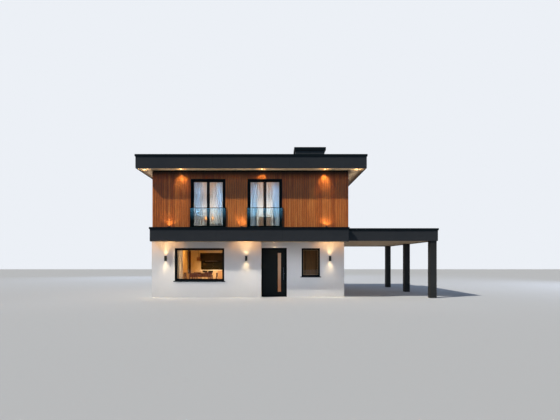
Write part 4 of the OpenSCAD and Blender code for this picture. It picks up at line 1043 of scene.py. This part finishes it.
# Kitchen: cream fronts on the left, tan ones on the right, a dark strip above the cream ones
kitchenWork = {"edge": 0.0012, "near": 0.01, "worktop": 0.04, "worktopNear": 0.003, "creamWide": 0.96,
               "stripIn": 0.03, "stripZ": 0.86, "splash": 0.008, "splashWide": 0.73, "seam": 0.0015,
               "splashEdge": 0.0008, "hood": 0.02, "hoodIn": 0.3, "hoodWide": 0.75, "hoodEdge": 0.002}
(baseLow, baseHigh), (wallUnitLow, wallUnitHigh) = solidsOf("kitchen_units")


def makeKitchen():
    w = kitchenWork
    mesh = mergedCopy("kitchen_units")
    bevelSharp(mesh, w["edge"])
    middle = baseLow.x + w["creamWide"]

    def pick(centre):
        if centre.z > wallUnitLow.z - w["near"]:
            return 0
        if centre.z > baseHigh.z - w["worktop"] - w["worktopNear"]:
            return 2
        if centre.y > baseLow.y + w["stripIn"] and centre.z > w["stripZ"] and centre.x < middle:
            return 0
        return 3 if centre.x > middle else 1

    paintBy(mesh, pick)
    finishPiece("kitchen_fitted", mesh, ["cabinet", "front", "worktop", "tan"],
                replaced=["kitchen_units"])


# Dark splashback behind the worktop and a slim extractor under the wall cabinets
def makeKitchenWall():
    w = kitchenWork
    back, hood = bmesh.new(), bmesh.new()
    addPanels(back, (baseLow.x, baseHigh.y - w["splash"], baseHigh.z),
              (baseHigh.x, baseHigh.y, wallUnitLow.z), 0, w["splashWide"], w["seam"])
    bevelSharp(back, w["splashEdge"])
    finishPiece("kitchen_splashback", back, ["splash"])
    left = wallUnitLow.x + w["hoodIn"]
    addSlab(hood, (left, wallUnitLow.y - w["hood"] / 4, wallUnitLow.z - w["hood"]),
            (left + w["hoodWide"], wallUnitHigh.y, wallUnitLow.z))
    bevelSharp(hood, w["hoodEdge"], 2)
    finishPiece("kitchen_hood", hood, ["steel"])


# Cabinets: the sideboard in grey lacquer, the chest in oak, with bar handles
cabinetWork = {"edge": 0.0015, "near": 0.01, "leg": 0.12, "drawers": 4, "apart": 0.06}
handleWork = {"long": 0.16, "thick": 0.01, "stand": 0.026, "post": 0.008, "postShare": 0.36,
              "edge": 0.002}
(sideLow, sideHigh), (chestLow, chestHigh) = solidsOf("upper_cabinets")


def makeCabinets():
    mesh = mergedCopy("upper_cabinets")
    bevelSharp(mesh, cabinetWork["edge"])
    paintBy(mesh, lambda centre: 0 if centre.x < sideHigh.x + cabinetWork["near"] else 1)
    finishPiece("cabinets_fitted", mesh, ["greyCase", "dresser"],
                replaced=["upper_cabinets"])


def addHandle(mesh, centre, along):
    w = handleWork
    centre, along, out = Vector(centre), Vector(along), Vector((0, w["stand"], 0))
    half = along * w["long"] / 2 + (Vector((1, 1, 1)) - along) * w["thick"] / 2
    addSlab(mesh, centre - out - half, centre - out + half)
    size = Vector((w["post"], 0, w["post"])) / 2
    for side in (-1, 1):
        post = centre + along * side * w["long"] * w["postShare"]
        addSlab(mesh, post - size - out, post + size)


def makeHandles():
    mesh = bmesh.new()
    leg, drawers = cabinetWork["leg"], cabinetWork["drawers"]
    for side in (-1, 1):
        addHandle(mesh, ((sideLow.x + sideHigh.x) / 2 + side * cabinetWork["apart"], sideLow.y,
                         (sideLow.z + sideHigh.z + leg) / 2), (0, 0, 1))
    for i in range(drawers):
        z = chestLow.z + leg + (i + 0.5) * (chestHigh.z - chestLow.z - leg) / drawers
        addHandle(mesh, ((chestLow.x + chestHigh.x) / 2, chestLow.y, z), (1, 0, 0))
    bevelSharp(mesh, handleWork["edge"])
    finishPiece("cabinet_handles", mesh, ["brass"])


# Table lamps: the shade in linen, foot and stem in brass
tableLampWork = {"shadeDown": 0.03}
tableLamps = solidsOf("table_lamps")


def makeTableLamps():
    mesh = mergedCopy("table_lamps", flat=False)
    shadeZ = middleOf(*tableLamps[0]).z - tableLampWork["shadeDown"]
    paintBy(mesh, lambda centre: 0 if centre.z > shadeZ else 1)
    finishPiece("table_lamps_fitted", mesh, ["linen", "brass"], replaced=["table_lamps"])


makeKitchen()
makeKitchenWall()
makeCabinets()
makeHandles()
makeTableLamps()
print("rooms done")


# Lamps of the scene
def addLight(name, kind, place, aim, power, colour, fade=None, **settings):
    data = bpy.data.lights.new(name, kind)
    data.energy = power
    data.color = tone(*colour)[:3]
    for key, value in settings.items():
        setattr(data, key, value)
    if fade:
        data.use_nodes = True
        tree = data.node_tree
        linear = put(tree, "LightFalloff", {"Strength": 1.0, "Smooth": fade}).outputs["Linear"]
        wire(tree.nodes["Emission"], Strength=linear)
    light = bpy.data.objects.new(name, data)
    light.location = place
    light.rotation_mode = "QUATERNION"
    light.rotation_quaternion = Vector(aim).to_track_quat("-Z", "Y")
    light.visible_camera = light.visible_glossy = light.visible_transmission = False
    scene.collection.objects.link(light)


def addPanelLight(name, place, aim, power, colour, wide, deep, beam=180):
    addLight(name, "AREA", place, aim, power, colour, shape="RECTANGLE", size=wide, size_y=deep,
             spread=math.radians(beam))


def addSpotLight(name, place, aim, power, colour, cone, soft, blend=1, fade=None):
    addLight(name, "SPOT", place, aim, power, colour, fade, spot_size=math.radians(cone),
             spot_blend=blend, shadow_soft_size=soft)


up, down = (0, 0, 1), (0, 0, -1)
lampColour, spotColour, warm = (255, 222, 168), (255, 222, 176), (255, 196, 120)

# Daylight from above, and low light from in front of, behind and beside the house
addLight("sun", "SUN", (0, 0, 20), aim=(1.05, 0.633, -1.254), power=3.0, colour=(255, 249, 238), angle=0.03)
# Place, aim, power, colour, width and depth of each, and its beam in degrees
fills = {"front_fill": ((0, -14, 0.9), (0, 1, 0), 62, (226, 233, 246), 18, 0.6, 24),
         "entrance_fill": ((2.4, -7.5, 1.3), (0, 1, 0), 2.4, (226, 233, 246), 2.6, 0.8, 40),
         "back_fill": ((-6, 24, 10), (0.25, -1, -0.3), 1150, (204, 222, 255), 24, 10),
         "side_fill": ((24, 3, 7), (-1, 0, -0.15), 700, (214, 228, 255), 14, 8)}
for name, row in fills.items():
    addPanelLight(name, *row)

# Wall lamps: a beam up, a weaker one down that leans to the wall, and light thrown back by the canopy
wallBeams = {-1: {"power": 40, "cone": 92, "lean": 0.24}, 1: {"power": 56, "cone": 98, "lean": 0.05}}
wallLight = {"clear": 0.004, "bounceOut": 0.12, "bounceBelow": 0.02}
for i, (low, high) in enumerate(wallLamps):
    centre = lampAxis(low, high)[0]
    for side, beam in wallBeams.items():
        addSpotLight("wall_lamp_light_%d_%d" % (i, side),
                     centre + Vector((0, 0, side * ((high.z - low.z) / 2 + wallLight["clear"]))),
                     (0, beam["lean"], side), beam["power"], lampColour, beam["cone"], soft=0.03, fade=0.02)
    addPanelLight("lamp_bounce_%d" % i, (centre.x, low.y - wallLight["bounceOut"],
                                         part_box("canopy")[0].z - wallLight["bounceBelow"]),
                  (0, 0.35, -1), power=3.4, colour=(255, 178, 96), wide=1.5, deep=0.2)

# Spots: a cone grazing the nearest wall, and a glow on the soffit round the lens
spotLight = {"power": 50, "gap": 0.18, "lean": math.radians(12), "cone": 80, "glow": 5.4,
             "glowBelow": 0.26, "glowCone": 116, "doorShare": 0.3}
for i, (low, high) in enumerate(spots):
    place = middleOf(low, high)
    byDoor = place.z < beltTop
    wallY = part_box("entrance_wall")[0].y if byDoor else upper["low" if place.y < 0 else "high"].y
    out = math.copysign(1, place.y)
    share = spotLight["doorShare"] if byDoor else 1.0
    if upper["low"].x < place.x < upper["high"].x:
        lean = spotLight["lean"]
        addSpotLight("soffit_light_%d" % i, (place.x, wallY + out * spotLight["gap"], place.z - 0.01),
                     (0, -out * math.sin(lean), -math.cos(lean)), spotLight["power"] * share, spotColour,
                     spotLight["cone"], soft=0.02)
    addSpotLight("soffit_glow_%d" % i, place - Vector((0, 0, spotLight["glowBelow"])), up,
                 spotLight["glow"] * share, warm, spotLight["glowCone"], soft=0.05)

# Up-lights on the canopy, close to the cladding
upLight = {"gap": 0.16, "lean": math.radians(4), "above": 0.014}
for i, (low, high) in enumerate(upSpots):
    addSpotLight("canopy_light_%d" % i,
                 ((low.x + high.x) / 2, upper["low"].y - upLight["gap"], high.z + upLight["above"]),
                 (0, math.sin(upLight["lean"]), math.cos(upLight["lean"])), power=8.6, colour=spotColour,
                 cone=160, soft=0.03, blend=0.9)

# Soft light on the soffits from below
washLight = {"power": 0.3, "narrow": 0.1, "below": 0.5}
roofLow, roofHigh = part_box("roof_soffit")
narrow, roofSize = washLight["narrow"], roofHigh - roofLow
washes = [*(((roofLow.x + roofHigh.x) / 2, (roof.y + wall.y) / 2, roofSize.x, narrow)
            for roof, wall in ((roofLow, upper["low"]), (roofHigh, upper["high"]))),
          *(((roof.x + wall.x) / 2, 0, narrow, roofSize.y)
            for roof, wall in ((roofLow, upper["low"]), (roofHigh, upper["high"])))]
for i, (x, y, wide, deep) in enumerate(washes):
    addPanelLight("soffit_wash_%d" % i, (x, y, soffitZ - washLight["below"]), up,
                  washLight["power"] * max(wide, deep), (255, 242, 224), wide, deep, beam=55)
carport = middleOf(*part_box("carport_roof"))
addPanelLight("carport_wash", (carport.x, carport.y, 0.3), up, power=14, colour=(255, 220, 178),
              wide=3.2, deep=7.6)

# Rooms
roomLight = {"z": 2.66, "beside": 0.6, "y": 0.6, "kitchenOut": 0.9, "kitchenZ": 1.9, "hallIn": 1.4,
             "drapeOut": 0.8, "drapeZ": 1.5, "shadeOut": 0.02, "shadeDown": 0.08}
table, doorway = middleOf(*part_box("dining_table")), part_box("door_leaf")
addPanelLight("room_light", (table.x + roomLight["beside"], roomLight["y"], roomLight["z"]), down,
              power=140, colour=(255, 192, 108), wide=3.0, deep=2.5)
kitchenLow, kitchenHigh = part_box("kitchen_units")
addPanelLight("kitchen_light", ((kitchenLow.x + kitchenHigh.x) / 2, kitchenLow.y - roomLight["kitchenOut"],
                                roomLight["kitchenZ"]),
              (0, 1, -0.9), power=14, colour=(255, 226, 184), wide=2.0, deep=0.3, beam=70)
addPanelLight("hall_light", (middleOf(*doorway).x, doorway[1].y + roomLight["hallIn"], roomLight["z"]),
              (0, -0.25, -1), power=70, colour=(255, 220, 184), wide=1.0, deep=1.0)
addPanelLight("upper_light", (0, 0.5, 5.6), down, power=620, colour=(255, 250, 242), wide=6.0, deep=4.0)

# Daylight on the cloth behind the front windows
curtainLight = {"power": 16, "out": 0.4, "share": 0.6, "narrower": 0.3}
for i, (low, high) in enumerate(b for b in solidsOf("tall_window_frames") if b[0].y < 0):
    lit = curtainLight["share"] * (high.z - low.z)
    addPanelLight("curtain_light_%d" % i,
                  ((low.x + high.x) / 2, low.y - curtainLight["out"],
                   high.z - (1 - curtainLight["share"]) * (high.z - low.z)), (0, 1, 0),
                  curtainLight["power"], (196, 230, 255), high.x - low.x - curtainLight["narrower"], lit,
                  beam=24)
addPanelLight("drape_light", ((drapeLow.x + drapeHigh.x) / 2, drapeLow.y - roomLight["drapeOut"],
                              roomLight["drapeZ"]),
              (0, 1, 0), power=1.2, colour=(255, 222, 184), wide=drapeHigh.x - drapeLow.x, deep=1.2, beam=20)
for i, (low, high) in enumerate(tableLamps):
    addLight("table_lamp_light_%d" % i, "POINT",
             ((low.x + high.x) / 2, low.y - roomLight["shadeOut"], high.z - roomLight["shadeDown"]),
             down, power=3.2, colour=(255, 172, 88), shadow_soft_size=0.04)

# Stage: a pale floor that throws little light back up, and a plain pale backdrop
stage = {"half": 60, "floorSeen": (206, 208, 210), "floorBounce": (112, 108, 104),
         "backSeen": (236, 240, 246), "backLight": (190, 216, 255), "backStrength": 0.17,
         "cardFar": -62, "cardHigh": 60, "cardLow": (14, 26, 26), "cardTop": (112, 190, 235),
         "cardGlow": 1.6, "cardFade": (8.2, 11.2)}


def newPlane(name, finish, matrix):
    mesh = bmesh.new()
    bmesh.ops.create_grid(mesh, x_segments=1, y_segments=1, size=1, matrix=matrix)
    return newObject(name, mesh, [finish])


def makeFloor():
    finish, tree, shader = newFinish("studioFloor", Roughness=0.95, Specular_IOR_Level=0.1)[:3]
    path = put(tree, "LightPath").outputs
    wire(shader, Base_Color=blendOf(tree, path["Is Diffuse Ray"], tone(*stage["floorSeen"]),
                                    tone(*stage["floorBounce"])))
    return newPlane("studio_floor", finish, Matrix.Diagonal((stage["half"], stage["half"], 1, 1)))


# A card behind the camera that only mirrored light meets: dark below, light blue above
def makeCard():
    finish, tree, shader, place = newFinish("mirrorCard", Base_Color=(0, 0, 0, 1), Roughness=1.0,
                                            Specular_IOR_Level=0.0, Emission_Strength=stage["cardGlow"])
    start, end = stage["cardFade"]
    share = put(tree, "MapRange", {0: partsOf(tree, place)[2], 1: start, 2: end},
                interpolation_type="SMOOTHSTEP").outputs[0]
    wire(shader, Emission_Color=blendOf(tree, share, tone(*stage["cardLow"]), tone(*stage["cardTop"])))
    high = stage["cardHigh"]
    card = newPlane("mirror_card", finish, Matrix.Translation((0, stage["cardFar"], high / 2)) @ upright
                    @ Matrix.Diagonal((high * 2, high / 2, 1, 1)))
    card.visible_camera = card.visible_diffuse = card.visible_shadow = False
    card.visible_volume_scatter = False
    return card


def makeBackdrop():
    world = bpy.data.worlds.new("backdrop")
    scene.world = world
    world.use_nodes = True
    tree = world.node_tree
    light = tree.nodes["Background"]
    light.inputs["Color"].default_value = tone(*stage["backLight"])
    light.inputs["Strength"].default_value = stage["backStrength"]
    seen = put(tree, "Background", {"Color": tone(*stage["backSeen"]), "Strength": 1.0})
    path = put(tree, "LightPath").outputs
    looks = sums(tree, "MAXIMUM", sums(tree, "MAXIMUM", path["Is Camera Ray"], path["Is Glossy Ray"]),
                 path["Is Transmission Ray"])
    mixed = put(tree, "MixShader", {0: looks, 1: light.outputs[0], 2: seen.outputs[0]})
    wire(tree.nodes["World Output"], Surface=mixed.outputs[0])


floor, card = makeFloor(), makeCard()
makeBackdrop()
print("stage and lamps done")
